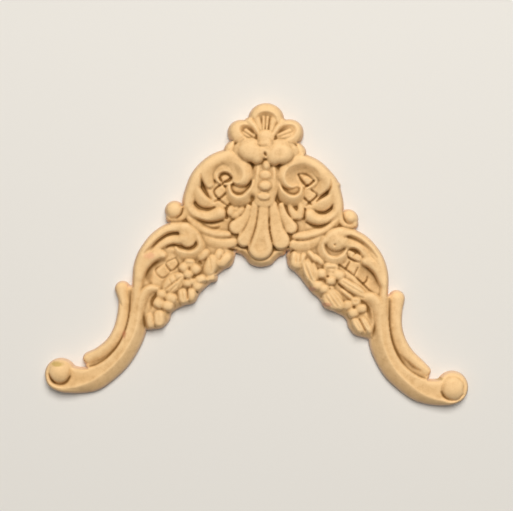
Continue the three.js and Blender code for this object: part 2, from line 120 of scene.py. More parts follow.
class Relief:
    """Heights over the flat back on an even grid, and for each point how far inside the outline it is."""

    def __init__(self, pitch):
        self.pitch = pitch
        self.across = np.arange(*ACROSS, pitch)
        self.up = np.arange(*UP, pitch)
        self.x, self.y = np.meshgrid(self.across, self.up)
        self.z = np.zeros(self.x.shape)
        self.inside = np.full(self.x.shape, NOWHERE)

    def window(self, low, high):
        """The part of the grid between two corners, as a pair of slices."""
        c = np.searchsorted(self.across, [low[0], high[0]])
        r = np.searchsorted(self.up, [low[1], high[1]])
        return slice(max(r[0], 0), r[1]), slice(max(c[0], 0), c[1])

    def beside(self, rows, side, margin=1.0):
        """For the grid near a line of rows [x, y, half width, ...]: the window, the distance to the line,
        its sign (left of the line is positive) and the rows' columns at the nearest place. Nearest is
        measured as distance over half width, so that a line that widens keeps its own edge."""
        line = smooth_line(rows)
        line[:, 0] *= side
        widest = line[:, 2].max() + margin
        here = self.window(line[:, :2].min(0) - widest, line[:, :2].max(0) + widest)
        x, y = self.x[here], self.y[here]
        ahead = np.gradient(line[:, :2], axis=0)
        ahead /= np.hypot(*ahead.T)[:, None]
        best = np.full(x.shape, np.inf)
        pick = np.zeros(x.shape, int)
        for k, (px, py, w) in enumerate(line[:, :3]):
            d = ((x - px) ** 2 + (y - py) ** 2) / (w * w)
            near = d < best
            best[near] = d[near]
            pick[near] = k
        at = line[pick]
        gone = np.stack([x, y], -1) - at[..., :2]
        way = ahead[pick]
        turn = np.sign(way[..., 0] * gone[..., 1] - way[..., 1] * gone[..., 0]) * side
        return here, np.sqrt(best) * at[..., 2], turn, at

    def oval(self, row, side, margin=1.0, plan=2.0):
        """For the grid near an oval [x, y, half length, half width, turn in degrees]: the window, and how
        far out each point is as a share r of the oval's own radius. r^plan = |s|^plan + |t|^plan, where s
        and t are the shares of its half length and half width, so that a plan over 2 makes it squarer."""
        x0, y0, long, wide, turn = row[:5]
        reach = max(long, wide) + margin
        here = self.window((side * x0 - reach, y0 - reach), (side * x0 + reach, y0 + reach))
        dx = (self.x[here] - side * x0) * side
        dy = self.y[here] - y0
        a = np.radians(turn)
        s = (dx * np.cos(a) + dy * np.sin(a)) / long
        t = (dy * np.cos(a) - dx * np.sin(a)) / wide
        return here, (np.abs(s) ** plan + np.abs(t) ** plan) ** (1 / plan)

    def raise_rib(self, rows, side=RIGHT, foot=EDGE, full=2.0, soft=0.15, rim=True):
        """A rounded moulding along a line of rows [x, y, half width, top, lean]. Across it the height is
        foot + (top - foot) (1 - t^full)^(1/full), where t runs from 0 on the crest to 1 at the edge and
        the crest lies at lean, from -1 to 1, across the width. Past the edge it falls steeply."""
        here, d, turn, at = self.beside(rows, side)
        w, top = at[..., 2], at[..., 3]
        lean = at[..., 4] if at.shape[-1] > 4 else 0.0
        u = turn * d / w
        t = np.where(u > lean, (u - lean) / (1 - lean), (lean - u) / (1 + lean))
        t = np.clip(t, 0, 1)
        height = foot + (top - foot) * (1 - t**full) ** (1 / full)
        height -= STEEP * np.maximum(d - w, 0)
        self.z[here] = smooth_max(self.z[here], height, soft)
        if rim:
            self.inside[here] = np.maximum(self.inside[here], w - d)

    def raise_dome(self, row, side=RIGHT, foot=EDGE, full=2.0, soft=0.15, rim=True, fall=STEEP, plan=2.0):
        """A dome on an oval [x, y, half length, half width, turn, top]: height foot + (top - foot)
        (1 - r^full)^(1/full), with r from 0 in the middle to 1 at the edge. Past the edge it falls by so
        much a millimetre."""
        here, r = self.oval(row, side, plan=plan)
        small = min(row[2], row[3])
        height = foot + (row[5] - foot) * (1 - np.clip(r, 0, 1) ** full) ** (1 / full)
        height -= fall * small * np.maximum(r - 1, 0)
        self.z[here] = smooth_max(self.z[here], height, soft)
        if rim:
            self.inside[here] = np.maximum(self.inside[here], (1 - r) * small)

    def raise_ground(self, points, top, side=RIGHT, soft=0.1, rise=STEEP, start=None):
        """A flat ground inside a smooth closed outline. A point is inside if a ray from it crosses the
        outline an odd number of times, and its depth is its distance to the outline. From start at the
        outline it climbs by rise a millimetre until it meets the top."""
        ring = smooth_line([*points, points[0]], spacing=0.3) * [side, 1]
        low, high = ring.min(0) - 1, ring.max(0) + 1
        here = self.window(low, high)
        x, y = self.x[here], self.y[here]
        odd = np.zeros(x.shape, bool)
        near = np.full(x.shape, np.inf)
        for (ax, ay), (bx, by) in zip(ring, ring[1:]):
            if ay != by:
                odd ^= ((ay > y) != (by > y)) & (x < (bx - ax) * (y - ay) / (by - ay) + ax)
            near = np.minimum(near, (x - ax) ** 2 + (y - ay) ** 2)
        depth = np.where(odd, 1, -1) * np.sqrt(near)
        climb = rise * np.maximum(depth, 0) + STEEP * np.minimum(depth, 0)
        height = smooth_min((top if start is None else start) + climb, top, soft=0.3)
        self.z[here] = smooth_max(self.z[here], height, soft)
        self.inside[here] = np.maximum(self.inside[here], depth)

    def scoop(self, rows, side=RIGHT, wall=2.0, soft=0.15):
        """A hollow along a line of rows [x, y, half width, floor]: nothing stays higher than
        floor + wall u^2, where u is 1 at the half width, as far as its end."""
        here, d, _, at = self.beside(rows, side, margin=2.0)
        u = d / at[..., 2]
        lid = at[..., 3] + wall * u**2
        lid = np.where(u < SCOOP_END, lid, NO_LID)
        self.z[here] = smooth_min(self.z[here], lid, soft)

    def dish(self, row, side=RIGHT, wall=1.8, power=2.5, soft=0.15, tilt=(0, 0)):
        """A hollow on an oval [x, y, half length, half width, turn, floor]: nothing stays higher than
        floor + wall r^power, with the floor tilted by so much a millimetre along x and y, as far as its
        end."""
        here, r = self.oval(row, side, margin=2.0)
        dx = (self.x[here] - side * row[0]) * side
        dy = self.y[here] - row[1]
        lid = row[5] + tilt[0] * dx + tilt[1] * dy + wall * r**power
        lid = np.where(r < DISH_END, lid, NO_LID)
        self.z[here] = smooth_min(self.z[here], lid, soft)

    def score(self, rows, side=RIGHT, sharp=1.5):
        """A cut along a line of rows [x, y, half width, depth], as deep as depth (1 - u)^sharp, with u
        from 0 on the line to 1 at the half width."""
        here, d, _, at = self.beside(rows, side, margin=0.3)
        u = np.clip(d / at[..., 2], 0, 1)
        self.z[here] -= at[..., 3] * (1 - u) ** sharp

    def finish(self):
        """Rounds every crease a little by averaging with the neighbours. Then measures how deep inside the
        outline each point is, by peeling the piece ring by ring, adds the pulp's unevenness, and lets no
        point stand higher than just under the top, or than lip + skirt depth, a steep slope in from the
        outline."""
        kernel = np.array([0.25, 0.5, 0.25])
        for field in (self.z, self.inside):
            for axis in (0, 1):
                field[:] = sum(k * np.roll(field, s, axis) for k, s in zip(kernel, (-1, 0, 1)))
        held = self.inside > 0
        depth = np.zeros(held.shape)
        for ring in range(PEELS):
            beside = held & np.roll(held, 1, 1) & np.roll(held, -1, 1)
            across = beside if ring % 2 else held
            held = beside & np.roll(across, 1, 0) & np.roll(across, -1, 0)
            depth += self.pitch * held
        self.inside[:] = np.maximum(self.inside, depth - self.pitch)
        self.z += sum(
            uneven(self.z.shape, width / self.pitch, spread, seed) for width, spread, seed in UNEVEN
        )
        self.z[:] = smooth_min(self.z, TOP - UNDER_TOP, soft=0.15)
        self.z[:] = smooth_min(self.z, LIP + SKIRT * self.inside, soft=0.5)


# The rows of the forms, in millimetres. A rib's row is x, y, half width, top and, where its crest isn't
# in the middle, lean. A dome's or dish's is x, y, half length, half width, turn in degrees, and top or
# floor. A scoop's is x, y, half width and floor, and a cut's x, y, half width and depth. For LEFT, x
# counts leftwards.
CREST_GROUND = [
    [0, 27.6], [3.2, 26.2], [6.4, 24.0], [8.6, 22.0], [9.2, 18.6], [10.6, 15.8], [7, 13], [0, 12],
    [-7, 13], [-10.6, 15.8], [-9.2, 18.6], [-8.6, 22.0], [-6.4, 24.0], [-3.2, 26.2],
]


def upper_petals(face):
    """The crest's ground, a leaf tip at each foot of it, and the three upper petals: domes, each hollowed
    by a dish with a tilted floor."""
    face.raise_ground(CREST_GROUND, 4.2)
    for side in BOTH:
        face.raise_rib([[9.0, 16.9, 1.5, 4.4], [9.2, 15.2, 2.5, 5.0], [7.8, 13.9, 3.0, 5.6]], side,
                       full=2.2, soft=1.2)
    face.raise_dome([6.2, 20.0, 4.7, 4.0, 25, 6.2], LEFT, full=2.6)
    face.raise_dome([6.2, 20.4, 4.7, 4.15, 35, 6.2], RIGHT, full=2.6)
    face.raise_dome([0, 24.4, 5.1, 4.68, 0, 6.6], full=2.5)
    face.dish([-0.1, 22.4, 4.1, 3.8, 0, 4.9], wall=1.7, power=3.5, tilt=(0, -0.12), soft=.2)
    face.dish([4.9, 20.3, 2.7, 1.8, 36, 4.7], LEFT, wall=1.4, power=3, tilt=(-0.05, -0.2), soft=.2)
    face.dish([5.9, 20.4, 3.3, 2.2, 25, 4.8], RIGHT, wall=1.3, power=3, tilt=(0.1, -0.3), soft=.2)


def top_petal_rays(face):
    """Four low ribs fan out from the button up the top petal's hollow. A taller rib closes the fan on each
    side, over a cut."""
    for rows in (
        [[-1.3, 20.8, .7, 5.9], [-2.5, 24.0, .95, 5.6]],
        [[-0.6, 21.0, .4, 5.9], [-0.75, 24.7, .5, 5.5]],
        [[0.2, 21.0, .35, 5.9], [0.35, 24.7, .4, 5.5]],
        [[1.4, 20.8, .75, 5.9], [2.1, 24.2, 1.05, 5.6]],
    ):
        face.raise_rib(rows, foot=4.5, rim=False, soft=.15, full=2.4)
    face.score([[-1.9, 20.4, .5, .5], [-3.7, 23.8, .6, .9], [-3.9, 24.3, .4, .3]])
    face.score([[2.3, 21.2, .4, .4], [3.2, 23.2, .5, .5]])
    face.raise_rib([[-1.9, 19.9, .8, 6.3], [-3.2, 22.0, 1.05, 6.2], [-5.1, 23.9, 1.0, 5.6]], foot=4.4,
                   rim=False, soft=0.3)
    face.raise_rib([[2.2, 20.0, .8, 6.3], [3.3, 21.9, 1.0, 6.2], [4.9, 23.6, 1.0, 5.7]], foot=4.4,
                   rim=False, soft=0.3)


def side_petal_rays(face):
    """Three low ribs in the hollow of each side petal, and a cut where the petal meets the ground."""
    for rows in (
        [[-3.2, 19.3, .45, 5.7], [-5.6, 20.9, .55, 5.3]],
        [[-3.6, 18.6, .45, 5.7], [-6.4, 20.1, .55, 5.5]],
        [[-4.2, 17.9, .45, 5.7], [-6.6, 19.1, .5, 5.6]],
        [[3.3, 19.7, .5, 5.6], [6.6, 21.2, .6, 5.2]],
        [[3.5, 18.9, .5, 5.7], [7.4, 20.2, .65, 5.4]],
        [[4.2, 18.1, .5, 5.7], [7.6, 18.9, .7, 5.6]],
    ):
        face.raise_rib(rows, foot=4.3, rim=False, soft=.15, full=2.2)
    face.score([[-9.2, 17.7, .5, .4], [-8.2, 16.6, .7, .7], [-7.9, 15.8, .5, .3]])
    face.score([[9.4, 17.5, .4, .3], [8.3, 16.9, .6, .8], [7.7, 16.3, .5, .6]])


def lower_petals(face):
    """The button, a flat dome, and the two smooth petals under it. Each petal is a wide dome that runs
    together with smaller ones. A short rib joins the two, with a pit under it where they meet."""
    face.raise_dome([0.05, 19.1, 2.65, 2.25, 0, 7.0], foot=4.6, full=2.6, soft=0.3)
    for side in BOTH:
        face.raise_dome([3.9, 17.0, 3.0, 1.8, 0, 7.2], side, foot=4.6, full=2.2, soft=0.8)
    face.raise_dome([5.4, 15.6, 3.4, 2.4, 0, 6.6], LEFT, foot=4.6, full=2.2, soft=0.8)
    face.raise_dome([5.8, 15.6, 3.4, 2.4, 0, 6.6], RIGHT, foot=4.6, full=2.2, soft=0.8)
    face.raise_dome([3.95, 14.9, 3.75, 3.1, 8, 8.3], LEFT, foot=4.8, full=2.4, soft=0.4)
    face.raise_dome([2.4, 13.6, 2.3, 2.3, 0, 7.9], LEFT, foot=4.8, full=2.4, soft=0.5)
    face.raise_dome([4.2, 14.7, 3.8, 3.25, -8, 8.5], RIGHT, foot=4.8, full=2.4, soft=0.4)
    face.raise_dome([2.7, 13.5, 2.5, 2.4, 0, 8.0], RIGHT, foot=4.8, full=2.4, soft=0.5)
    face.raise_rib([[0, 16.6, 2.2, 7.4], [0, 15.4, 2.2, 7.9], [0.1, 14.7, 1.8, 7.9]], foot=5.6, full=2.6,
                   soft=0.5)
    face.score([[-0.1, 14.6, .5, 1.0], [0.0, 14.2, .6, 1.7], [0.3, 13.8, .5, 1.1], [-0.1, 13.4, .4, .6]])
    face.score([[-2.2, 16.9, .5, .2], [-1.2, 16.5, .5, .45], [0.4, 16.6, .5, .3]])


CARTOUCHE_GROUND = [
    [0, 15], [9, 14.2], [15, 12], [19.4, 7], [21.4, 1], [20.6, -4], [17.6, -9], [13, -12], [8.4, -12.4],
    [0, -13], [-8.4, -12.4], [-13, -12], [-17.6, -9], [-20.6, -4], [-21.4, 1], [-19.4, 7], [-15, 12],
    [-9, 14.2],
]
CARTOUCHE_STEP = [
    [0, 12], [9, 12], [16, 9], [18.6, 4], [19.0, -2], [16.4, -7], [8.4, -9.4], [0, -9], [-8.4, -9.4],
    [-16.4, -7], [-19.0, -2], [-18.6, 4], [-16, 9], [-9, 12],
]
SHOULDER_LEFT = [
    [7.4, 13.3, 2.0, 5.9], [9.6, 13.5, 2.3, 6.1], [12.0, 12.9, 2.35, 6.2], [14.5, 11.5, 2.5, 6.3],
    [16.8, 9.3, 2.6, 6.3], [18.7, 6.9, 2.4, 6.1], [20.0, 3.8, 2.2, 5.7], [20.9, 0.6, 2.0, 5.2],
    [20.9, -2.4, 1.6, 4.7], [20.4, -5.0, 1.2, 4.3],
]
SHOULDER_RIGHT = [
    [7.4, 13.2, 1.9, 5.9], [9.6, 13.2, 2.1, 6.1], [12.0, 12.6, 2.15, 6.2], [14.4, 11.2, 2.35, 6.3],
    [16.6, 9.2, 2.4, 6.3], [18.7, 6.7, 2.45, 6.1], [19.9, 3.8, 2.25, 5.7], [20.8, 0.7, 2.0, 5.2],
    [20.9, -2.4, 1.6, 4.7], [20.4, -5.0, 1.2, 4.3],
]
LEAVES_LEFT = [
    [[19.7, 6.0, 1.3, 5.7, -.2], [19.0, 3.6, 1.7, 5.6, -.35], [17.6, 1.4, 1.9, 5.4, -.4],
     [15.8, 0.1, 1.7, 5.0, -.4], [14.2, -0.2, 1.1, 4.6, -.2]],
    [[20.7, -0.6, 1.4, 5.1, .2], [19.8, -2.0, 1.65, 5.2, .35], [17.9, -3.0, 1.8, 5.2, .4],
     [15.6, -3.5, 1.8, 5.3, .35], [13.6, -3.1, 1.95, 5.5, .1], [12.1, -2.5, 2.0, 5.6, 0]],
    [[20.6, -4.3, 1.0, 4.6, .2], [19.0, -5.7, 1.2, 4.9, .2], [17.0, -7.1, 1.3, 5.0, .2],
     [14.6, -8.0, 1.3, 5.0, .2], [12.0, -8.4, 1.25, 4.9, .2], [9.6, -8.4, 1.0, 4.7, .1]],
    [[20.2, -5.5, .9, 4.2, -.1], [18.9, -7.2, 1.1, 4.4, -.2], [16.8, -9.2, 1.35, 4.6, -.25],
     [14.2, -10.5, 1.5, 4.7, -.25], [11.4, -11.0, 1.55, 4.7, -.25], [8.8, -10.8, 1.4, 4.6, -.2],
     [7.3, -10.3, 1.0, 4.4, 0]],
]
LEAVES_RIGHT = [
    [[20.4, 6.4, 1.3, 5.7, -.2], [19.9, 3.9, 1.6, 5.6, -.4], [18.3, 1.7, 1.95, 5.5, -.5],
     [16.4, 0.7, 1.9, 5.2, -.5], [14.6, 0.3, 1.2, 4.8, -.3]],
    [[21.0, 1.2, 1.2, 5.1, .1], [20.3, -1.3, 1.4, 5.2, .1], [18.4, -2.9, 1.55, 5.3, .1],
     [15.9, -3.4, 1.65, 5.3, .1], [14.0, -2.9, 1.9, 5.5, 0], [13.1, -2.3, 2.05, 5.6, 0]],
    [[20.7, -3.2, .9, 4.6, .1], [19.2, -4.9, 1.1, 4.9, .1], [17.0, -6.4, 1.2, 5.0, .2],
     [14.0, -7.5, 1.3, 5.0, .2], [11.4, -8.1, 1.3, 4.9, .2], [9.3, -8.3, 1.0, 4.6, .1]],
    [[20.4, -4.6, .8, 4.2, -.2], [18.9, -6.6, 1.1, 4.4, -.3], [16.4, -9.0, 1.35, 4.6, -.4],
     [13.4, -10.5, 1.5, 4.7, -.4], [10.6, -11.0, 1.5, 4.7, -.4], [8.7, -10.6, 1.3, 4.6, -.3]],
]
CURL_LEFT = [[15.4, 10.6, 2.3, 6.2, .3], [15.9, 8.4, 1.95, 6.2, .3], [15.7, 6.7, 1.8, 6.0, .3],
             [15.2, 5.5, 1.4, 5.6, .2]]
CURL_RIGHT = [[15.8, 10.0, 2.1, 6.2, .3], [17.0, 8.0, 1.9, 6.2, .35], [16.6, 6.2, 1.9, 5.9, .35],
              [15.6, 4.9, 1.6, 5.4, .3], [14.8, 4.3, 1.1, 5.0, .1]]
LIP_LEFT = [[3.0, 6.6, .7, 5.7, .2], [3.1, 5.0, 1.1, 6.0, .35], [3.7, 3.3, 1.6, 6.2, .5],
            [5.3, 1.5, 1.95, 6.3, .5], [7.4, 1.1, 1.9, 6.2, .5], [9.2, 2.3, 1.4, 6.0, .45],
            [9.9, 4.2, 1.0, 5.8, .3], [9.7, 5.7, .6, 5.3, .2]]
LIP_RIGHT = [[4.2, 6.8, .7, 5.7, .2], [4.3, 5.2, 1.1, 6.0, .35], [5.1, 3.3, 1.6, 6.2, .5],
             [6.9, 1.9, 1.95, 6.3, .5], [8.9, 1.8, 1.85, 6.2, .5], [10.4, 3.2, 1.3, 6.0, .4],
             [10.7, 4.8, .9, 5.7, .3], [10.4, 5.9, .6, 5.3, .2]]


def cartouche(face):
    """The ground between the shoulders, in two low steps, and on it three ribs a side: the broad shoulder,
    the curl that hangs in from it, and the thick roll of the volute."""
    face.raise_ground(CARTOUCHE_GROUND, GROUND)
    face.raise_ground(CARTOUCHE_STEP, FLOOR, soft=.4)
    for side, shoulder, curl in ((LEFT, SHOULDER_LEFT, CURL_LEFT), (RIGHT, SHOULDER_RIGHT, CURL_RIGHT)):
        face.raise_rib(shoulder, side, full=2.4)
        face.raise_rib(curl, side, foot=3.8, full=2.3, soft=0.5)
    face.raise_rib([[10.4, 12.9, 2.2, 6.1], [8.2, 12.0, 2.5, 6.4], [6.4, 10.4, 2.9, 6.8],
                    [6.1, 8.8, 3.1, 7.0], [6.4, 7.9, 3.0, 7.0]], LEFT, foot=4.0, full=2.4, soft=.7)
    face.raise_rib([[10.6, 12.9, 2.2, 6.1], [8.6, 12.0, 2.5, 6.4], [6.9, 10.4, 2.9, 6.8],
                    [6.6, 8.8, 3.1, 7.0], [7.1, 7.8, 3.1, 7.0]], RIGHT, foot=4.0, full=2.1, soft=.7)


def bowls(face):
    """The bowl of each volute: a flat dome cut by a dish and, on the left, by a second one, deeper."""
    face.raise_dome([10.8, 8.4, 3.6, 3.2, 0, 5.6], LEFT, foot=4.6, full=4, soft=.2, rim=False)
    face.raise_dome([11.6, 8.2, 3.8, 3.2, 0, 5.2], RIGHT, foot=4.4, full=4, soft=.2, rim=False)
    face.dish([10.7, 8.3, 4.0, 3.5, 0, 5.6], LEFT, wall=.7, power=4, soft=.2)
    face.dish([10.9, 8.0, 4.7, 3.9, 0, 4.5], RIGHT, wall=1.7, power=2.6, soft=.15)
    face.dish([10.9, 7.4, 2.15, 1.7, 15, 3.6], LEFT, wall=1.9, power=3, soft=.2)


def trellis(face):
    """A low swelling and one or two small pads on each side, cut by the crossing lines of a trellis."""
    face.raise_dome([12.3, 2.6, 3.9, 3.2, 80, 4.6], LEFT, foot=3.9, full=4, soft=.3)
    face.raise_dome([12.8, 3.0, 3.9, 3.2, 90, 4.6], RIGHT, foot=3.9, full=4, soft=.3)
    face.raise_dome([10.9, 7.2, 1.35, 1.1, 0, 4.7], LEFT, foot=3.4, full=3, soft=.15)
    face.raise_dome([12.1, 7.7, 1.5, 1.1, -25, 4.9], RIGHT, foot=4.0, full=3, soft=.15)
    face.raise_dome([13.3, 6.0, 1.0, .9, 0, 4.6], RIGHT, foot=3.4, full=3, soft=.15)
    for rows in (
        [[-12.6, 7.3, .4, .8], [-11.6, 5.7, .5, 1.1], [-10.2, 4.0, .45, 1.0], [-11.1, 2.6, .45, 1.0],
         [-12.5, 1.3, .5, 1.1], [-14.0, 0.4, .35, .5]],
        [[-9.2, 7.4, .4, .8], [-11.6, 5.7, .5, 1.1], [-13.7, 4.0, .45, 1.0], [-13.7, 2.7, .45, 1.0],
         [-12.5, 1.3, .5, 1.1], [-9.9, -0.6, .4, .7]],
        [[9.6, 8.9, .4, .8], [10.7, 7.1, .5, 1.1], [12.2, 5.9, .5, 1.2], [13.9, 7.3, .5, 1.0]],
        [[9.6, 9.1, .4, .4], [11.2, 9.2, .5, .6], [12.6, 8.6, .5, .6], [13.9, 7.4, .45, .5]],
        [[12.2, 6.0, .5, .9], [10.8, 4.6, .5, 1.0], [10.8, 3.2, .5, 1.0], [12.9, 1.2, .5, 1.1],
         [14.2, 0.3, .35, .5]],
        [[13.3, 4.9, .4, .6], [14.9, 3.3, .5, 1.0], [12.9, 1.2, .5, 1.1], [12.0, 0.3, .35, .5]],
    ):
        face.score(rows, sharp=1.2)


def volute_lips(face):
    """A mound in each volute's mouth, and the sharp lip that runs around it as a leaning rib."""
    face.raise_dome([6.7, 4.6, 2.4, 1.6, 0, 5.0], LEFT, foot=4.0, full=2, soft=.4)
    face.raise_dome([7.9, 4.8, 2.4, 1.5, 0, 4.9], RIGHT, foot=4.0, full=2, soft=.4)
    for side, lip in ((LEFT, LIP_LEFT), (RIGHT, LIP_RIGHT)):
        face.raise_rib(lip, side, foot=3.9, full=1.25, soft=.2)


def shoulder_leaves(face):
    """The leaves that sweep in from each shoulder, as leaning ribs, and a fine rib beside the top one."""
    for side, leaves in ((LEFT, LEAVES_LEFT), (RIGHT, LEAVES_RIGHT)):
        for rows in leaves:
            face.raise_rib(rows, side, foot=3.7, full=1.75, soft=.12)
    face.raise_rib([[18.3, 6.8, .7, 4.7], [17.2, 5.0, .9, 4.6], [15.9, 3.5, .8, 4.6]], RIGHT, foot=3.9,
                   full=2.5, soft=.4)
    face.raise_rib([[16.8, 5.2, .6, 4.5], [15.9, 3.8, .8, 4.5], [15.0, 2.6, .7, 4.5]], LEFT, foot=3.9,
                   full=2.5, soft=.4)


def leaf_shadows(face):
    """Cuts that deepen the ground where one leaf runs out over the next."""
    for rows in (
        [[-17.8, 8.0, .35, .5], [-17.5, 6.2, .5, .9], [-17.1, 4.9, .7, 1.1], [-16.4, 3.6, .8, 1.0],
         [-15.6, 2.3, .6, .7], [-14.6, 1.3, .4, .3]],
        [[18.8, 7.6, .35, .5], [18.7, 5.9, .5, .9], [17.9, 4.3, .6, 1.1], [16.4, 3.1, .6, 1.0],
         [14.9, 1.7, .5, .6]],
        [[-19.2, 0.0, .7, .4], [-18.2, -1.3, 1.1, .8], [-16.7, -1.7, 1.1, .8], [-14.8, -1.5, .8, .6],
         [-13.7, -1.0, .5, .3]],
        [[-18.9, -4.1, .4, .3], [-17.4, -4.8, .6, .5], [-15.5, -5.3, .7, .6], [-13.6, -5.3, .7, .6],
         [-11.1, -4.7, .5, .4]],
        [[-16.7, -6.0, .5, .3], [-14.9, -6.7, .6, .4], [-13.6, -6.9, .6, .5], [-12.2, -6.5, .5, .4]],
        [[12.3, -4.1, .5, .4], [14.1, -5.2, .7, .6], [16.3, -5.5, .7, .6], [18.2, -4.5, .5, .5],
         [19.8, -3.0, .4, .3]],
        [[19.6, 0.9, .4, .4], [18.8, -0.4, .5, .9], [17.3, -1.5, .5, 1.0], [15.7, -1.4, .4, .6]],
        [[-10.3, -1.3, .45, .9], [-10.1, -3.8, .5, 1.0]],
        [[11.7, -0.6, .45, .9], [11.7, -3.3, .55, 1.3]],
    ):
        face.score(rows, sharp=1.2)


SHELL_EDGE = [
    [7.3, -11.4], [6.6, -13.6], [5.3, -14.1], [4.1, -15.2], [2.7, -16.6], [-0.2, -17.3], [-3.0, -16.6],
    [-4.4, -15.0], [-5.8, -13.9], [-7.0, -13.5], [-7.6, -11.4],
]


def shell(face):
    """The flange of the shell, which climbs from its thin edge, the bed of the beads, and five flutes:
    flat ribs that widen downwards. The middle one is hollowed a little, and cuts part the ones on the
    left."""
    face.raise_ground(SHELL_EDGE, FLOOR, rise=1.7, start=1.5)
    face.raise_rib([[0.3, 12.0, 3.2, 6.1], [0.3, 7, 3.8, 6.1], [0.2, 2.6, 3.2, 5.6]], foot=4.9, full=2.6,
                   soft=1.0)
    for rows in (
        [[-4.1, -0.6, .8, 5.1], [-4.5, -2.4, 1.0, 5.2], [-5.3, -4.1, 1.4, 5.3], [-6.6, -5.6, 1.9, 5.4],
         [-7.3, -6.3, 2.05, 5.4]],
        [[5.0, 0.2, .8, 5.1], [5.9, -2.4, 1.05, 5.2], [7.0, -4.4, 1.5, 5.3], [8.0, -5.9, 1.8, 5.4]],
        [[-2.3, 0.4, 1.0, 5.2], [-2.65, -2.7, 1.25, 5.3], [-3.6, -6.6, 1.65, 5.5], [-4.7, -9.0, 2.0, 5.6],
         [-5.0, -9.8, 2.0, 5.6]],
        [[2.8, 0.4, 1.15, 5.2], [3.35, -2.7, 1.6, 5.3], [4.1, -6.6, 2.0, 5.5], [5.1, -9.0, 2.4, 5.6],
         [5.3, -9.7, 2.5, 5.6]],
        [[0.2, 0.4, 1.45, 5.3], [0.1, -2.7, 1.6, 5.5], [-0.1, -6.8, 2.05, 5.7], [-0.3, -9.8, 2.9, 5.9],
         [-0.4, -11.7, 3.5, 5.9]],
    ):
        face.raise_rib(rows, foot=4.1, full=3.2, soft=.1)
    face.scoop([[0.0, -5, .7, 5.6], [-.25, -9, 1.3, 5.5], [-.4, -11.8, 2.2, 5.5]], wall=.5, soft=.2)
    for rows in (
        [[-1.4, -1.6, .3, .3], [-1.75, -5.0, .35, .5], [-2.4, -8.0, .4, .6], [-3.2, -10.6, .4, .6],
         [-3.6, -12.2, .4, .4]],
        [[-3.6, -3.0, .3, .3], [-4.5, -5.6, .35, .5], [-5.6, -7.6, .4, .5], [-6.7, -9.2, .35, .4]],
    ):
        face.score(rows)


def beads(face):
    """A strap on each side, and between them four domes, with two ticks over the lowest and a dimple on
    each side of it."""
    face.raise_rib([[-1.8, 10.8, .5, 6.2], [-2.0, 8.6, .55, 6.5], [-2.2, 6.0, .5, 6.1],
                    [-2.4, 3.8, .5, 5.6]], foot=4.8, soft=.3)
    face.raise_rib([[2.4, 11.2, .5, 6.2], [2.8, 9.0, .6, 6.5], [2.8, 6.4, .5, 6.1], [2.7, 3.8, .5, 5.6]],
                   foot=4.8, soft=.3)
    face.raise_dome([0.5, 11.3, 1.6, 1.2, 90, 7.2], foot=5.4, full=2.4, soft=.1)
    face.raise_dome([0.3, 8.5, 1.7, 1.35, 0, 6.9], foot=5.6, full=2.8, soft=.2)
    face.raise_dome([0.3, 5.5, 1.85, 1.5, 0, 7.3], foot=5.4, full=2.5, soft=.1)
    face.raise_dome([0.1, 2.6, 1.85, 1.2, 0, 6.4], foot=4.6, full=5, soft=.1)
    face.score([[-1.2, 3.3, .35, .35], [1.3, 3.4, .35, .35]])
    face.dish([3.1, 1.8, 1.0, 1.3, 0, 4.3], LEFT, wall=1.4, power=1.5, soft=.4)
    face.dish([3.8, 1.8, 1.0, 1.3, 0, 4.3], RIGHT, wall=1.4, power=1.5, soft=.4)


def buds(face):
    """Four round buds beside the shell at the left, and a forked leaf, of two ribs, at the right."""
    for bud in (
        [-9.0, -1.8, 1.6, 1.2, 80, 5.0],
        [-7.7, -2.9, 1.5, 1.2, 20, 5.0],
        [-6.3, -1.8, 1.7, 1.0, 55, 5.0],
        [-7.6, -1.4, 1.2, 1.0, 0, 4.7],
    ):
        face.raise_dome(bud, foot=3.8, full=2.2, soft=.15)
    face.raise_rib([[7.3, 0.8, .7, 4.8], [7.9, -1.0, 1.0, 5.0], [9.0, -2.5, 1.3, 5.0]], foot=3.8,
                   full=2.2, soft=.15)
    face.raise_rib([[10.3, 0.9, .8, 4.8], [10.6, -0.9, 1.05, 5.0], [10.1, -2.4, 1.35, 5.0]], foot=3.8,
                   full=2.2, soft=.15)


BAND_LEFT = [
    [35.4, -35.0, .9, 4.4], [35.1, -30.0, 1.2, 4.5], [34.6, -26.0, 1.6, 4.7], [34.3, -21.6, 1.9, 4.9],
    [34.0, -18.2, 2.0, 5.0], [33.1, -14.6, 1.75, 5.2], [30.6, -10.7, 1.7, 5.4], [27.6, -8.2, 1.75, 5.5],
    [24.4, -7.1, 1.9, 5.6], [21.2, -7.2, 2.1, 5.7], [18.9, -8.4, 1.8, 5.7], [17.5, -10.4, 1.4, 5.5],
]
BAND_RIGHT = [
    [35.4, -35.0, .9, 4.4], [35.1, -30.0, 1.2, 4.5], [34.6, -26.0, 1.5, 4.7], [34.8, -21.6, 1.4, 4.9],
    [34.5, -18.0, 1.5, 5.0], [33.2, -14.3, 1.6, 5.2], [31.1, -11.2, 1.6, 5.4], [28.3, -8.6, 1.6, 5.5],
    [25.2, -7.2, 1.6, 5.6], [22.4, -6.8, 1.8, 5.7], [19.6, -7.3, 1.8, 5.8], [17.7, -9.4, 1.4, 5.6],
]
HOOK_LEFT = [
    [17.7, -9.6, 1.5, 5.6, .1], [17.0, -11.8, 1.65, 5.5, .25], [17.9, -13.6, 1.75, 5.4, .35],
    [19.7, -14.5, 1.75, 5.3, .35], [21.6, -14.5, 1.75, 5.2, .35], [23.4, -13.8, 1.3, 5.1, .3],
    [24.1, -12.9, .8, 4.9, .2],
]
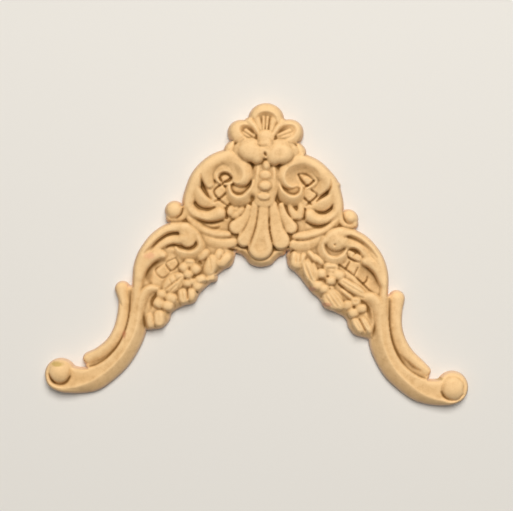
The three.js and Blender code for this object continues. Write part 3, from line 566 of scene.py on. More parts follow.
HOOK_RIGHT = [
    [17.4, -8.6, 1.3, 5.6, .1], [16.7, -10.4, 1.4, 5.5, .3], [16.9, -12.3, 1.5, 5.4, .4],
    [18.3, -14.1, 1.6, 5.3, .4], [20.4, -14.8, 1.7, 5.3, .4], [22.6, -14.0, 1.45, 5.2, .4],
    [23.9, -12.5, 1.1, 5.1, .35], [24.2, -11.2, .8, 5.0, .2],
]
INNER_LEFT = [
    [31.2, -14.2, .9, 4.4, .3], [29.1, -12.4, 1.3, 4.7, .3], [27.0, -11.0, 1.4, 4.9, .3],
    [24.8, -10.4, 1.4, 5.2, .3], [22.8, -10.3, 1.8, 5.8, .1], [21.4, -10.0, 2.0, 6.1, 0],
]
INNER_RIGHT = [
    [31.0, -14.6, 1.2, 4.9, .3], [29.8, -12.8, 1.5, 4.9, .35], [27.8, -10.9, 1.6, 5.0, .35],
    [25.2, -9.9, 1.6, 5.2, .35], [23.0, -9.4, 2.0, 5.8, .2], [21.2, -8.9, 2.4, 6.2, 0],
]
LOBE_LEFT = [
    [34.2, -21.0, 1.5, 4.9, .1], [33.2, -18.0, 1.8, 5.0, .2], [31.2, -15.6, 1.9, 5.2, .25],
    [28.9, -14.6, 1.6, 5.2, .25], [27.7, -14.8, 1.2, 5.0, .1],
]
LOBE_RIGHT = [
    [34.6, -20.8, 1.2, 4.9, .1], [33.2, -17.3, 1.6, 5.1, .2], [31.2, -15.2, 1.7, 5.2, .25],
    [29.2, -14.6, 1.3, 5.1, .1],
]
THUMB_LEFT = [
    [34.6, -36.4, 1.1, 4.7, 0], [33.9, -31.6, 1.4, 4.8, 0], [33.3, -28.4, 1.5, 5.0, -.1],
    [32.4, -25.9, 1.6, 5.1, -.2], [30.8, -24.5, 1.35, 5.0, -.2], [29.0, -24.3, 1.0, 4.7, 0],
]
THUMB_RIGHT = [
    [34.4, -36.4, 1.1, 4.7, 0], [33.9, -31.6, 1.5, 4.8, 0], [33.7, -28.6, 1.7, 5.0, -.1],
    [32.9, -26.2, 1.9, 5.1, -.2], [31.3, -24.9, 1.7, 5.0, -.2], [29.3, -24.6, 1.3, 4.7, 0],
]
EDGE_LEFT = [
    [17, -3.4], [24.6, -4.2], [29, -9], [33.4, -14.5], [35.2, -21], [34.6, -29], [32.6, -35.4],
    [30.4, -36.0], [27.2, -35.4], [25.3, -33.2], [24.6, -31.0], [21.4, -29.0], [18.4, -28.0],
    [16.9, -25.2], [14.0, -22.2], [12.0, -19.8], [10.4, -18.4], [8.4, -17.3], [7.6, -15.2], [8.2, -12.0],
]
EDGE_RIGHT = [
    [17, -3.4], [24.6, -4.2], [29, -9], [33.4, -14.5], [35.2, -21], [34.6, -29], [32.6, -36.2],
    [29.9, -36.2], [27.0, -35.4], [25.3, -33.4], [24.4, -31.0], [21.6, -29.4], [18.4, -28.2],
    [16.8, -25.8], [14.2, -23.6], [11.8, -20.6], [9.8, -18.5], [8.0, -17.2], [7.3, -15.2], [7.9, -12.0],
]
STEM_LEFT = [
    [34.0, -24.0, 2.2, 4.2, 0], [33.8, -29.0, 2.5, 4.4, 0], [34.0, -33.0, 2.6, 4.7, 0],
    [34.8, -37.2, 2.75, 4.9, .05], [36.7, -41.6, 2.75, 4.9, .1], [39.0, -45.0, 2.85, 4.8, .1],
    [42.1, -48.0, 3.0, 4.7, .05], [46.1, -50.4, 3.5, 4.5, -.1], [50.6, -51.0, 3.75, 4.3, -.45],
    [54.0, -50.6, 4.1, 4.0, -.7],
]
STEM_RIGHT = [
    [34.0, -24.0, 2.2, 4.2, 0], [33.8, -29.0, 2.5, 4.4, .05], [33.9, -33.0, 2.7, 4.7, .1],
    [34.4, -37.4, 3.1, 4.9, .15], [36.2, -41.7, 3.05, 4.9, .15], [38.7, -45.3, 3.05, 4.8, .1],
    [42.0, -48.1, 3.1, 4.7, 0], [46.0, -50.3, 3.4, 4.5, -.2], [50.5, -50.9, 3.7, 4.3, -.5],
    [53.9, -50.5, 4.0, 4.0, -.7],
]
SPRIG_LEFT = [
    [38.9, -24.7, 2.15, 4.1, .1], [38.1, -28.0, 1.9, 4.2, .25], [38.2, -32.4, 2.0, 4.2, .3],
    [39.1, -36.6, 2.1, 4.2, .3], [41.3, -40.4, 2.0, 4.2, .3], [44.6, -43.3, 1.95, 4.0, .3],
    [47.6, -44.7, 1.8, 3.7, .1],
]
SPRIG_RIGHT = [
    [38.6, -24.8, 2.35, 4.1, .1], [38.3, -28.4, 2.1, 4.2, .25], [38.4, -32.8, 2.1, 4.2, .3],
    [39.6, -37.0, 2.2, 4.2, .3], [41.9, -40.7, 2.25, 4.2, .3], [45.0, -43.4, 2.1, 4.0, .3],
    [47.4, -45.0, 1.6, 3.7, .1],
]


def beside_crest(rows, lower):
    """Rows of the flat between the crest of a leaning rib and its left edge, so much lower than the crest:
    its middle lies (1 + lean) / 2 of the half width to the left, and it is (1 - lean) / 2 as wide."""
    rows = np.asarray(rows, float)
    place, wide, top, lean = rows[:, :2], rows[:, 2], rows[:, 3], rows[:, 4]
    ahead = np.gradient(place, axis=0)
    ahead /= np.hypot(*ahead.T)[:, None]
    middle = (wide * (1 + lean) / 2)[:, None]
    moved = place + middle * np.stack([-ahead[:, 1], ahead[:, 0]], 1)
    return np.column_stack([moved, wide * (1 - lean) / 2, top - lower])


def arm_hollows(face):
    """The sloping ground of each arm, and hollows under its inner ridge, its lobe and its thumb. The broad
    hollow of the right arm is a dish, and the others are scoops. A small dome lies beside the left ridge's
    hollow."""
    for side, edge in ((LEFT, EDGE_LEFT), (RIGHT, EDGE_RIGHT)):
        face.raise_ground(edge, 3.95, side, rise=1.4, start=1.6)
    face.scoop([[26.8, -13.0, .6, 3.7], [26.1, -12.2, .8, 3.4], [24.8, -11.8, .8, 3.3],
                [23.7, -12.2, .7, 3.5]], LEFT, wall=1.4, soft=.2)
    face.raise_dome([24.9, -13.4, 1.0, .8, 0, 4.3], LEFT, foot=3.2, full=2.6)
    face.scoop([[27.2, -16.6, .8, 3.6], [29.3, -17.6, 1.3, 3.2], [31.0, -19.3, 1.5, 3.1],
                [31.5, -21.4, 1.4, 3.2], [30.9, -22.8, .9, 3.6]], LEFT, wall=1.1, soft=.3)
    face.dish([30.6, -20.1, 4.9, 3.4, -58, 2.9], RIGHT, wall=1.3, power=2.6, tilt=(.07, -.07), soft=.3)
    face.scoop([[28.8, -25.6, .7, 3.6], [29.9, -27.3, 1.0, 3.2], [30.4, -29.0, .9, 3.4],
                [30.7, -30.6, .8, 4.0]], LEFT, wall=1.2, soft=.3)
    face.scoop([[28.8, -26.0, .7, 3.6], [30.2, -27.7, 1.0, 3.2], [30.9, -29.6, .9, 3.3],
                [31.5, -31.8, .8, 3.8]], RIGHT, wall=1.2, soft=.3)


def side_balls(face):
    """The ball at the foot of each shoulder: domes in the bend of a short rib, parted from it by a cut."""
    face.raise_rib([[21.4, -0.6, 1.3, 4.6], [21.9, -3.0, 1.4, 4.6], [23.6, -4.5, 1.5, 4.5],
                    [26.0, -4.2, 1.45, 4.0]], LEFT, full=2.4)
    face.raise_dome([24.95, -2.1, 2.75, 2.7, 0, 5.6], LEFT, full=2.4, foot=2.0)
    face.raise_rib([[21.4, -0.6, 1.2, 4.6], [21.9, -3.2, 1.3, 4.5], [23.5, -4.6, 1.5, 4.4],
                    [25.6, -4.2, 1.5, 4.1]], full=2.4)
    face.raise_dome([24.3, -2.7, 2.8, 2.55, -30, 4.5], full=3, foot=2.0)
    face.raise_dome([24.7, -2.8, 1.5, 1.45, 0, 5.3], full=2.2, foot=3.0)
    face.score([[22.5, -1.0, .45, .6], [22.9, -3.0, .5, .9], [23.8, -4.2, .4, .6], [25.2, -4.4, .3, .3]])
    face.score([[22.6, -1.6, .4, .5], [23.0, -3.3, .45, .7], [24.2, -4.5, .4, .4]], LEFT)


def arm_scrolls(face):
    """The scroll of each arm, in ribs: the band around the outside, the ridge inside it that ends in the
    broad eye, the hook that turns back under the eye, and the lobe below. Cuts part band and ridge. The
    right arm also has two small squares in a dish beside its hook, a pinhole and a shallow filled
    crescent."""
    face.raise_rib(BAND_LEFT, LEFT, full=2.2)
    face.raise_rib(BAND_RIGHT, RIGHT, full=2.2)
    face.raise_rib(INNER_LEFT, LEFT, foot=3.6, full=1.9, soft=.2)
    face.raise_rib(INNER_RIGHT, RIGHT, foot=3.6, full=1.9, soft=.2)
    face.raise_rib([[21.6, -7.6, 2.0, 5.7], [21.0, -9.2, 2.3, 5.9], [20.8, -10.2, 2.3, 5.9]], LEFT,
                   foot=4.4, full=3, soft=.4)
    face.raise_rib([[22.0, -7.4, 2.2, 5.8], [21.2, -8.6, 2.9, 6.0], [20.8, -9.1, 3.0, 6.0]], RIGHT,
                   foot=4.2, full=2.4, soft=.4)
    face.raise_rib(HOOK_LEFT, LEFT, foot=3.6, full=1.35, soft=.2)
    face.raise_rib(HOOK_RIGHT, RIGHT, foot=3.6, full=1.35, soft=.2)
    face.raise_rib(LOBE_LEFT, LEFT, foot=3.4, full=2.1, soft=.5)
    face.raise_rib(LOBE_RIGHT, RIGHT, foot=3.4, full=2.1, soft=.5)
    face.score([[32.9, -14.7, .4, .3], [31.2, -13.0, .6, .6], [29.0, -10.9, .7, .9], [26.6, -9.1, .7, .9],
                [24.8, -8.6, .6, .7], [23.0, -8.9, .6, .35], [21.6, -9.2, .5, .1]], LEFT, sharp=1.2)
    face.score([[32.4, -13.6, .4, .4], [30.0, -11.0, .6, .8], [27.5, -9.1, .7, .9], [25.0, -8.0, .7, .9],
                [23.0, -8.1, .5, .4]], RIGHT, sharp=1.2)
    face.dish([26.0, -12.7, 2.2, 1.6, -22, 3.3], wall=1.4, power=3.5, soft=.15)
    face.raise_dome([25.15, -12.9, 1.2, .9, -25, 4.6], foot=3.8, full=5, plan=4)
    face.raise_dome([27.0, -13.7, 1.1, .9, -30, 4.5], foot=3.8, full=5, plan=4)
    face.dish([20.4, -10.4, .35, .35, 0, 5.1], wall=1.0, power=2, soft=.1)
    face.raise_rib([[18.3, -9.4, .8, 4.7], [18.9, -11.0, 1.2, 4.5], [20.7, -12.1, 1.4, 4.3],
                    [22.3, -11.5, 1.2, 4.3], [23.0, -10.6, .8, 4.6]], foot=4.0, full=2.4, soft=.4)


def stems(face):
    """A low web, the long stem over it with a flat beside its crest, the thumb at its root and the sprig
    along its outer side, all ribs, and the notches of the sprigs as cuts."""
    for side, stem, sprig, thumb in (
        (LEFT, STEM_LEFT, SPRIG_LEFT, THUMB_LEFT),
        (RIGHT, STEM_RIGHT, SPRIG_RIGHT, THUMB_RIGHT),
    ):
        face.raise_rib([[36.6, -25.0, 1.3, 3.3], [36.1, -31.0, 1.4, 3.3], [36.9, -36.8, 1.4, 3.3],
                        [39.3, -41.5, 1.4, 3.3], [43.0, -45.0, 1.4, 3.3], [47.6, -46.5, 1.0, 3.0]], side)
        face.raise_rib(stem, side, full=1.25, foot=1.4, soft=.15)
        face.raise_rib(beside_crest(stem, .25), side, foot=3.2, full=3.5, soft=.25)
        face.raise_rib(thumb, side, foot=3.4, full=1.8, soft=.4)
        face.raise_rib(sprig, side, foot=2.2, full=1.9, soft=.15)
    face.score([[40.4, -27.4, .8, 1.3], [39.5, -28.6, .7, .9], [38.8, -29.6, .5, .4]], LEFT)
    face.score([[40.0, -40.6, .5, .2], [41.8, -42.2, .7, .5], [43.6, -43.8, .8, .7], [45.8, -45.0, .6, .4]])
    face.score([[42.6, -39.6, .5, .2], [45.2, -42.0, .6, .5], [47.4, -43.8, .5, .3]])


def feet(face):
    """The rolled foot at each end: a low disc, a ball on it and a rim around its outer side, with a cut
    between rim and ball."""
    face.raise_dome([55.5, -49.5, 4.5, 4.55, 0, 3.7], LEFT, full=3)
    face.raise_dome([55.5, -48.8, 3.1, 3.0, 0, 5.7], LEFT, foot=3.5, full=1.8, soft=.3)
    face.raise_dome([55.2, -49.3, 4.5, 4.6, 0, 3.7], RIGHT, full=3)
    face.raise_dome([55.1, -49.5, 3.2, 3.2, 0, 5.7], RIGHT, foot=3.5, full=1.8, soft=.3)
    face.raise_rib([[50.6, -53.4, 1.0, 3.6], [54.6, -53.5, 1.2, 4.0], [58.0, -52.1, 1.1, 4.0],
                    [58.9, -49.4, 1.0, 3.8], [58.1, -47.0, .8, 3.5]], LEFT, full=2.0, soft=.3)
    face.raise_rib([[50.6, -53.0, 1.0, 3.6], [54.6, -53.2, 1.2, 4.0], [57.7, -51.8, 1.1, 4.0],
                    [58.6, -49.2, 1.0, 3.8], [57.8, -46.9, .8, 3.5]], RIGHT, full=2.0, soft=.3)
    face.score([[52.6, -49.9, .5, .4], [53.6, -51.6, .6, .7], [55.6, -52.3, .7, .9],
                [57.6, -51.3, .7, 1.1], [58.5, -49.6, .5, .7]], LEFT, sharp=1.2)
    face.score([[51.8, -50.6, .5, .4], [52.7, -52.0, .6, .7], [54.4, -52.9, .6, .8],
                [56.7, -52.7, .5, .6], [58.0, -51.2, .4, .4]], RIGHT, sharp=1.2)
    face.score([[58.0, -48.9, .35, .5], [57.9, -50.0, .35, .5]])


# The leaves and flowers of the garlands as domes, and their veins and gaps as cuts.
FLOWERS_LEFT = [
    # beds of the three flowers
    [20.1, -18.4, 2.7, 2.6, 0, 4.7], [26.6, -27.5, 2.8, 2.6, 0, 4.5], [18.6, -22.4, 2.7, 1.7, 10, 4.5],
    # leaves beside the hook
    [16.3, -14.4, 2.2, 1.35, -42, 5.0], [14.1, -17.2, 3.3, 1.9, -72, 5.1],
    [12.0, -14.3, 2.0, 1.3, -70, 4.8], [10.3, -15.6, 2.4, 1.5, -50, 4.9],
    [12.0, -16.4, 1.6, 1.2, 20, 4.6], [13.8, -20.8, 1.7, 1.3, 0, 4.3],
    # rosette
    [20.1, -16.8, 1.7, 1.4, 0, 5.2], [21.6, -18.2, 1.55, 1.5, 40, 5.3], [18.4, -18.5, 1.65, 1.6, 40, 5.4],
    [20.4, -20.0, 1.6, 1.45, 30, 5.4],
    # second flower
    [20.4, -22.5, 1.6, 1.3, 0, 5.0], [19.0, -22.1, 1.5, 1.2, 0, 5.0], [16.9, -21.3, 1.8, 1.4, -20, 5.1],
    [17.9, -23.2, 1.8, 1.4, 20, 5.0],
    # pair of buds
    [21.6, -26.2, 2.3, 1.55, 78, 5.0], [19.2, -25.7, 2.1, 1.35, 80, 5.1],
    # fan leaf
    [24.4, -22.6, 3.5, 2.5, -40, 5.0], [22.9, -20.9, 1.7, 1.5, 0, 5.0], [26.0, -23.9, 1.6, 1.3, 0, 4.8],
    # third flower
    [27.6, -25.9, 1.55, 1.5, -20, 4.9], [24.9, -26.8, 1.85, 1.6, 20, 5.1],
    [28.3, -28.4, 1.7, 1.6, 30, 5.2], [25.8, -29.0, 1.8, 1.6, 10, 5.2],
    # tip leaves
    [28.1, -32.7, 2.5, 1.65, 85, 5.0], [30.6, -33.3, 2.4, 1.15, 82, 4.6],
]
FLOWERS_RIGHT = [
    # beds of the three flowers
    [19.6, -18.5, 2.7, 2.4, 0, 4.7], [26.5, -27.6, 2.5, 2.4, 0, 4.5], [17.8, -22.3, 2.5, 1.5, -20, 4.5],
    # leaves at the top
    [9.1, -14.8, 2.3, 1.0, 84, 4.8], [10.3, -15.2, 2.3, .95, 88, 4.9], [11.5, -14.6, 2.0, .9, 75, 4.8],
    [10.2, -16.2, 1.5, 1.3, 0, 4.6],
    # long leaves beside them
    [12.7, -17.6, 3.5, 1.0, -72, 5.0], [14.0, -18.0, 3.9, 1.1, -69, 5.2],
    [15.2, -18.0, 2.8, .9, -72, 4.9], [14.6, -20.8, 1.6, .9, -60, 4.7],
    # pair of leaves beside the hook
    [14.4, -13.8, 2.2, .85, -48, 4.9], [16.0, -14.6, 2.3, .95, -40, 4.9],
    # rosette
    [19.6, -16.7, 2.3, 1.5, -10, 5.2], [17.1, -18.5, 1.55, 1.5, 0, 5.4], [19.7, -20.4, 1.5, 1.5, 0, 5.5],
    [21.8, -18.7, 1.9, 1.6, -20, 5.2], [19.6, -18.6, 1.2, 1.1, 0, 4.9],
    # long slanting leaf
    [25.6, -22.0, 4.6, 1.45, -30, 5.3], [26.4, -23.3, 4.0, 1.2, -28, 5.0],
    [24.6, -24.2, 2.9, .8, -38, 4.8],
    # second flower
    [16.1, -21.9, 1.7, 1.45, 0, 5.1], [18.0, -22.8, 1.6, 1.4, 0, 5.1], [19.8, -22.6, 1.1, .9, 0, 4.8],
    # fan leaf
    [20.6, -25.5, 3.3, 2.5, -50, 5.1], [22.3, -26.8, 2.0, 1.6, -50, 5.0],
    [19.0, -26.3, 1.7, 1.5, -50, 4.7],
    # third flower
    [26.8, -26.0, 1.6, 1.5, 0, 5.1], [28.4, -28.0, 1.75, 1.4, 10, 5.1], [26.4, -29.2, 1.6, 1.5, 20, 5.1],
    [24.7, -27.1, 1.65, 1.5, 10, 5.0],
    # tip leaves
    [27.8, -32.8, 2.5, 1.3, -56, 4.9], [30.0, -32.5, 2.9, 1.05, -58, 4.8],
]
LINES_LEFT = [
    [[24.0, -15.5, .3, .5], [23.3, -17.4, .35, .7], [25.3, -19.2, .35, .7], [26.7, -17.1, .35, .6],
     [24.0, -15.5, .3, .5]],
    [[27.3, -17.2, .3, .4], [25.5, -19.2, .3, .4], [27.6, -21.3, .35, .7], [29.7, -19.3, .35, .7],
     [27.3, -17.2, .3, .4]],
    [[20.0, -18.5, .45, .35], [20.1, -18.4, .45, .35]], [[19.4, -17.1, .6, .3], [20.8, -17.0, .6, .4]],
    [[26.9, -27.2, .5, .4], [26.6, -27.5, .5, .4]],
    [[26.6, -24.4, .4, .5], [24.4, -22.6, .45, .6], [22.4, -21.0, .35, .4]],
    [[25.6, -21.6, .35, .4], [25.0, -22.8, .35, .4]], [[24.2, -20.6, .35, .4], [23.6, -21.8, .35, .3]],
    [[25.0, -24.6, .35, .4], [23.6, -23.2, .35, .4]], [[23.0, -24.0, .35, .4], [22.2, -22.2, .35, .3]],
    [[21.9, -24.8, .3, .3], [21.4, -27.4, .3, .3]], [[20.4, -24.4, .35, .6], [20.3, -26.8, .4, .8]],
    [[28.3, -31.6, .9, .25], [28.0, -33.6, 1.0, .3]], [[19.2, -23.1, .4, .6], [19.1, -23.6, .4, .6]],
    [[17.3, -16.5, .5, .6], [16.8, -16.9, .5, .5]], [[16.5, -22.3, .4, .5], [15.8, -22.0, .4, .4]],
    [[14.6, -15.0, .35, .3], [13.8, -19.0, .35, .4]], [[11.2, -14.6, .35, .5], [11.6, -15.6, .35, .4]],
]
LINES_RIGHT = [
    [[21.9, -15.9, .4, .6], [23.8, -17.1, .45, .9], [26.2, -18.8, .45, .9], [28.8, -21.0, .45, .9],
     [30.3, -22.4, .4, .6], [32.0, -23.5, .3, .3]],
    [[24.8, -14.9, .4, .6], [23.9, -16.8, .45, .9]], [[27.2, -16.5, .4, .6], [26.4, -18.4, .45, .9]],
    [[30.0, -19.0, .35, .5], [29.7, -20.2, .4, .8], [28.9, -21.0, .45, .8]],
    [[23.9, -12.6, .4, .6], [24.6, -13.8, .45, .8], [25.9, -14.6, .45, .8], [27.2, -14.9, .35, .4]],
    [[26.4, -12.4, .35, .6], [25.8, -13.6, .35, .6]], [[18.8, -19.3, .5, .7], [18.9, -19.4, .5, .7]],
    [[18.6, -17.1, .6, .5], [20.6, -17.0, .7, .6]], [[26.4, -27.6, .5, .8], [26.5, -27.8, .5, .8]],
    [[19.5, -22.6, .4, .7], [19.6, -22.7, .4, .7]], [[26.7, -25.9, .6, .4], [27.0, -25.9, .6, .4]],
    [[22.0, -21.4, .4, .5], [24.4, -23.2, .4, .7], [27.0, -24.4, .4, .5], [29.0, -24.9, .35, .4]],
    [[23.0, -20.6, .35, .3], [26.0, -22.3, .35, .4], [28.6, -23.6, .35, .3]],
    [[12.0, -15.4, .3, .4], [12.9, -18.0, .35, .5], [14.4, -20.6, .35, .4]],
    [[13.2, -15.2, .3, .4], [14.2, -17.6, .35, .5], [15.0, -20.0, .35, .4]],
    [[9.7, -13.8, .3, .4], [9.8, -15.4, .35, .5]], [[10.9, -13.8, .3, .4], [10.8, -15.4, .35, .5]],
    [[19.2, -24.0, .3, .3], [20.4, -25.8, .35, .5], [21.8, -27.6, .3, .3]],
    [[20.2, -23.6, .3, .3], [21.4, -25.2, .35, .5], [22.8, -27.0, .3, .3]],
    [[18.4, -24.8, .3, .3], [19.4, -26.2, .35, .5], [20.6, -27.9, .3, .3]],
    [[21.2, -23.6, .3, .3], [22.4, -24.8, .35, .5], [23.6, -26.2, .3, .3]],
    [[28.2, -31.0, .35, .5], [29.4, -33.2, .4, .7], [30.2, -34.6, .35, .5]],
    [[29.2, -31.0, .3, .3], [30.6, -33.4, .3, .4]], [[27.0, -31.6, .3, .3], [28.2, -33.6, .3, .4]],
]


def garlands(face):
    """Leaves and flowers as squarish domes that overlap, and then their veins and gaps as cuts."""
    for side, domes, lines in ((LEFT, FLOWERS_LEFT, LINES_LEFT), (RIGHT, FLOWERS_RIGHT, LINES_RIGHT)):
        for dome in domes:
            face.raise_dome(dome, side, foot=3.2, full=2.5, soft=.08, fall=3.0, plan=2.6)
        for rows in lines:
            face.score(rows, side, sharp=1.2)


# Each form is laid over the ones before it.
FORMS = (
    upper_petals, top_petal_rays, side_petal_rays, lower_petals,
    cartouche, bowls, trellis, volute_lips, shoulder_leaves, leaf_shadows,
    shell, beads, buds,
    arm_hollows, side_balls, arm_scrolls, stems, feet,
    garlands,
)


def relief():
    """The whole face, form by form."""
    face = Relief(PITCH)
    for form in FORMS:
        form(face)
    face.finish()
    return face


# The mesh: the least slope that counts at the outline, how near to it a point moves onto it, in steps of
# the grid, and in millimetres how far hollows fade and the rim reaches in from it. A place is as hollow
# as the mean height over some width around it, less its own: each width in millimetres, and how much it
# counts.
LEAST_SLOPE = 0.35
NEAR = 0.55
HOLLOW_FADE = 0.8
RIM_REACH = 1.2
HOLLOW_WIDTHS = ((0.45, 1.3), (1.4, 0.4))


def skin(face):
    """Corners and faces of the moulding, in millimetres, and the grid points that they stand for. The face
    is the grid, with each point near the outline moved onto it along the steepest way, by depth over
    slope. Cells with four corners inside are squares and those with three are triangles. A wall drops from
    each edge that only one of them has to the back."""
    gy, gx = np.gradient(face.inside, face.pitch)
    steep = np.maximum(np.hypot(gx, gy), LEAST_SLOPE)
    gap = face.inside / steep
    snapped = np.abs(gap) < NEAR * face.pitch
    x = face.x - np.where(snapped, gap * gx / steep, 0)
    y = face.y - np.where(snapped, gap * gy / steep, 0)
    z = np.where(snapped, LIP, np.maximum(face.z, LIP))
    kept = snapped | (gap > 0)
    full = kept & ~snapped
    number = np.arange(z.size).reshape(z.shape)
    corners = [number[:-1, :-1], number[:-1, 1:], number[1:, 1:], number[1:, :-1]]
    held = np.stack([kept.ravel()[c] for c in corners])
    some = np.any([full.ravel()[c] for c in corners], axis=0)
    corners = np.stack(corners)
    squares = corners[:, (held.sum(0) == 4) & some].T
    three = (held.sum(0) == 3) & some
    triangles = np.array([corners[:, three].T[held[:, three].T]]).reshape(-1, 3)
    ways = np.concatenate(
        [squares[:, [k, (k + 1) % 4]] for k in range(4)]
        + [triangles[:, [k, (k + 1) % 3]] for k in range(3)]
    )
    key = ways[:, 0] * z.size + ways[:, 1]
    back = ways[:, 1] * z.size + ways[:, 0]
    rim = ways[~np.isin(key, back)]
    used = np.unique(np.concatenate([squares.ravel(), triangles.ravel()]))
    lookup = np.zeros(z.size, int)
    lookup[used] = np.arange(len(used))
    foot_of = np.unique(rim[:, 0])
    foot = np.zeros(z.size, int)
    foot[foot_of] = len(used) + np.arange(len(foot_of))
    wall = np.stack([lookup[rim[:, 1]], lookup[rim[:, 0]], foot[rim[:, 0]], foot[rim[:, 1]]], 1)
    points = np.stack([x.ravel(), y.ravel(), z.ravel()], 1)
    low = points[foot_of] * [1, 1, 0]
    return np.vstack([points[used], low]), lookup[squares], lookup[triangles], wall, used, foot_of


def applique(face):
    """The moulding as one mesh in metres, with a flat back that closes the foot of its wall. Each corner
    carries how hollow its place is, as the mean height around it less its own, and how near the rim is:
    1 at the outline and 0 from the rim's reach on."""
    points, squares, triangles, wall, used, foot_of = skin(face)
    faces = [*squares.tolist(), *triangles.tolist(), *wall.tolist()]
    mesh = bpy.data.meshes.new("applique_moulding")
    mesh.from_pydata((points / MM_IN_METRE).tolist(), [], faces)
    height = np.where(face.inside > 0, face.z, np.minimum(face.z, LIP))
    hollow = sum(count * (blurred(height, width / face.pitch) - height) for width, count in HOLLOW_WIDTHS)
    hollow *= np.clip(face.inside / HOLLOW_FADE, 0, 1)
    rim = np.clip(1 - face.inside / RIM_REACH, 0, 1)
    for name, field in (("hollow", hollow), ("rim", rim)):
        values = np.concatenate([field.ravel()[used], field.ravel()[foot_of]])
        mesh.attributes.new(name, "FLOAT", "POINT").data.foreach_set("value", values.astype(np.float32))
    mesh.shade_smooth()
    shape = bmesh.new()
    shape.from_mesh(mesh)
    low = [e for e in shape.edges if e.is_boundary]
    filled = bmesh.ops.holes_fill(shape, edges=low, sides=0)["faces"]
    for edge in low:
        edge.smooth = False
    for flat in filled:
        flat.smooth = False
    bmesh.ops.triangulate(shape, faces=filled)
    shape.to_mesh(mesh)
    shape.free()
    piece = bpy.data.objects.new("applique_moulding", mesh)
    bpy.context.scene.collection.objects.link(piece)
    return piece


class Value:
    """A number that varies over the surface: one socket of a finish, which adds nodes for each sum that
    it is used in."""

    def __init__(self, finish, socket):
        self.finish = finish
        self.socket = socket

    def math(self, operation, *others):
        """What one node makes of this number and the others."""
        made = self.finish.node("ShaderNodeMath", dict(enumerate((self, *others))), operation=operation)
        return Value(self.finish, made.outputs[0])

    def __add__(self, other):
        return self.math("ADD", other)

    def __mul__(self, other):
        return self.math("MULTIPLY", other)

    def __sub__(self, other):
        return self.math("SUBTRACT", other)

    def __rsub__(self, other):
        return (self * -1.0) + other

    __radd__ = __add__
    __rmul__ = __mul__

    def between(self, low, high):
        """0 up to low and 1 from high on, with an even slope between."""
        return ((self - low) * (1.0 / (high - low))).math("MAXIMUM", 0.0).math("MINIMUM", 1.0)


class Finish:
    """A material of nodes, and the few ways in which its nodes are made."""

    def __init__(self, name):
        self.material = bpy.data.materials.new(name)
        self.material.use_nodes = True
        self.tree = self.material.node_tree
        self.tree.nodes.clear()

    def node(self, kind, sockets=None, **settings):
        """One node: its settings first, then the values or links of its sockets."""
        made = self.tree.nodes.new(kind)
        for key, value in settings.items():
            setattr(made, key, value)
        for key, value in (sockets or {}).items():
            if isinstance(value, Value):
                self.tree.links.new(value.socket, made.inputs[key])
            else:
                made.inputs[key].default_value = value
        return made

    def place(self):
        """Where a point is on the object, in metres."""
        return Value(self, self.node("ShaderNodeTexCoord").outputs["Object"])

    def carried(self, name):
        """A number that the mesh carries at its corners."""
        return Value(self, self.node("ShaderNodeAttribute", attribute_name=name).outputs["Fac"])

    def noise(self, size, detail=2.0, rough=0.5):
        """Soft noise from 0 to 1, with lumps of about that size in millimetres."""
        sockets = {"Scale": MM_IN_METRE / size, "Detail": detail, "Roughness": rough}
        made = self.node("ShaderNodeTexNoise", {"Vector": self.place(), **sockets})
        return Value(self, made.outputs["Fac"])

    def vector(self, operation, *vectors, result=0):
        """A sum, product or length of vectors."""
        made = self.node("ShaderNodeVectorMath", dict(enumerate(vectors)), operation=operation)
        return Value(self, made.outputs[result])

    def spot(self, x, y, wide, high):
        """1 in the middle of an oval spot on the face, in millimetres, and 0 from its ragged edge on: one
        less the distance from the middle, as a share of the half width or height, plus noise."""
        away = self.vector("ADD", self.place(), (-x / MM_IN_METRE, -y / MM_IN_METRE, 0.0))
        share = self.vector("MULTIPLY", away, (MM_IN_METRE / wide, MM_IN_METRE / high, 0.0))
        out = self.vector("LENGTH", share, result=1)
        return ((1.0 - out) + 0.8 * (self.noise(1.5) - 0.5)).between(0.0, 0.5)

    def mix(self, a, b, share):
        """Colour a, turning to b as share goes from 0 to 1."""
        made = self.node("ShaderNodeMix", {0: share, 6: a, 7: b}, data_type="RGBA")
        return Value(self, made.outputs[2])

    def bump(self, height, depth):
        """A normal tipped by a height that varies, so many millimetres deep where it goes from 0 to 1."""
        sockets = {"Height": height, "Distance": depth / MM_IN_METRE, "Strength": 1.0}
        return Value(self, self.node("ShaderNodeBump", sockets).outputs[0])

    def done(self, **sockets):
        """Ends the finish in one surface shader, with the sockets that are given."""
        named = {name.replace("_", " "): value for name, value in sockets.items()}
        shader = self.node("ShaderNodeBsdfPrincipled", named)
        end = self.node("ShaderNodeOutputMaterial")
        self.tree.links.new(shader.outputs[0], end.inputs[0])
        return self.material


def colour(red, green, blue):
    """A colour of a screen, from 0 to 255 each, as the light that it stands for: shown / 12.92 in the
    darkest part, and ((shown + 0.055) / 1.055)^2.4 above it."""
    shown = np.array([red, green, blue]) / 255.0
    light = np.where(shown <= 0.04045, shown / 12.92, ((shown + 0.055) / 1.055) ** 2.4)
    return (*light.tolist(), 1.0)


# Stains on the face: x, y, half width, half height in millimetres and the colour.
STAINS = (
    (-56.3, -46.5, 2.2, 0.8, (176, 150, 62)),
    (-37.7, -37.6, 0.7, 1.4, (196, 128, 92)),
    (14.6, -23.0, 1.3, 0.9, (206, 138, 112)),
    (18.8, -27.2, 1.6, 0.8, (206, 138, 108)),
    (-31.2, -15.2, 2.0, 1.2, (232, 172, 132)),
    (51.0, -46.9, 1.6, 0.6, (190, 160, 90)),
)


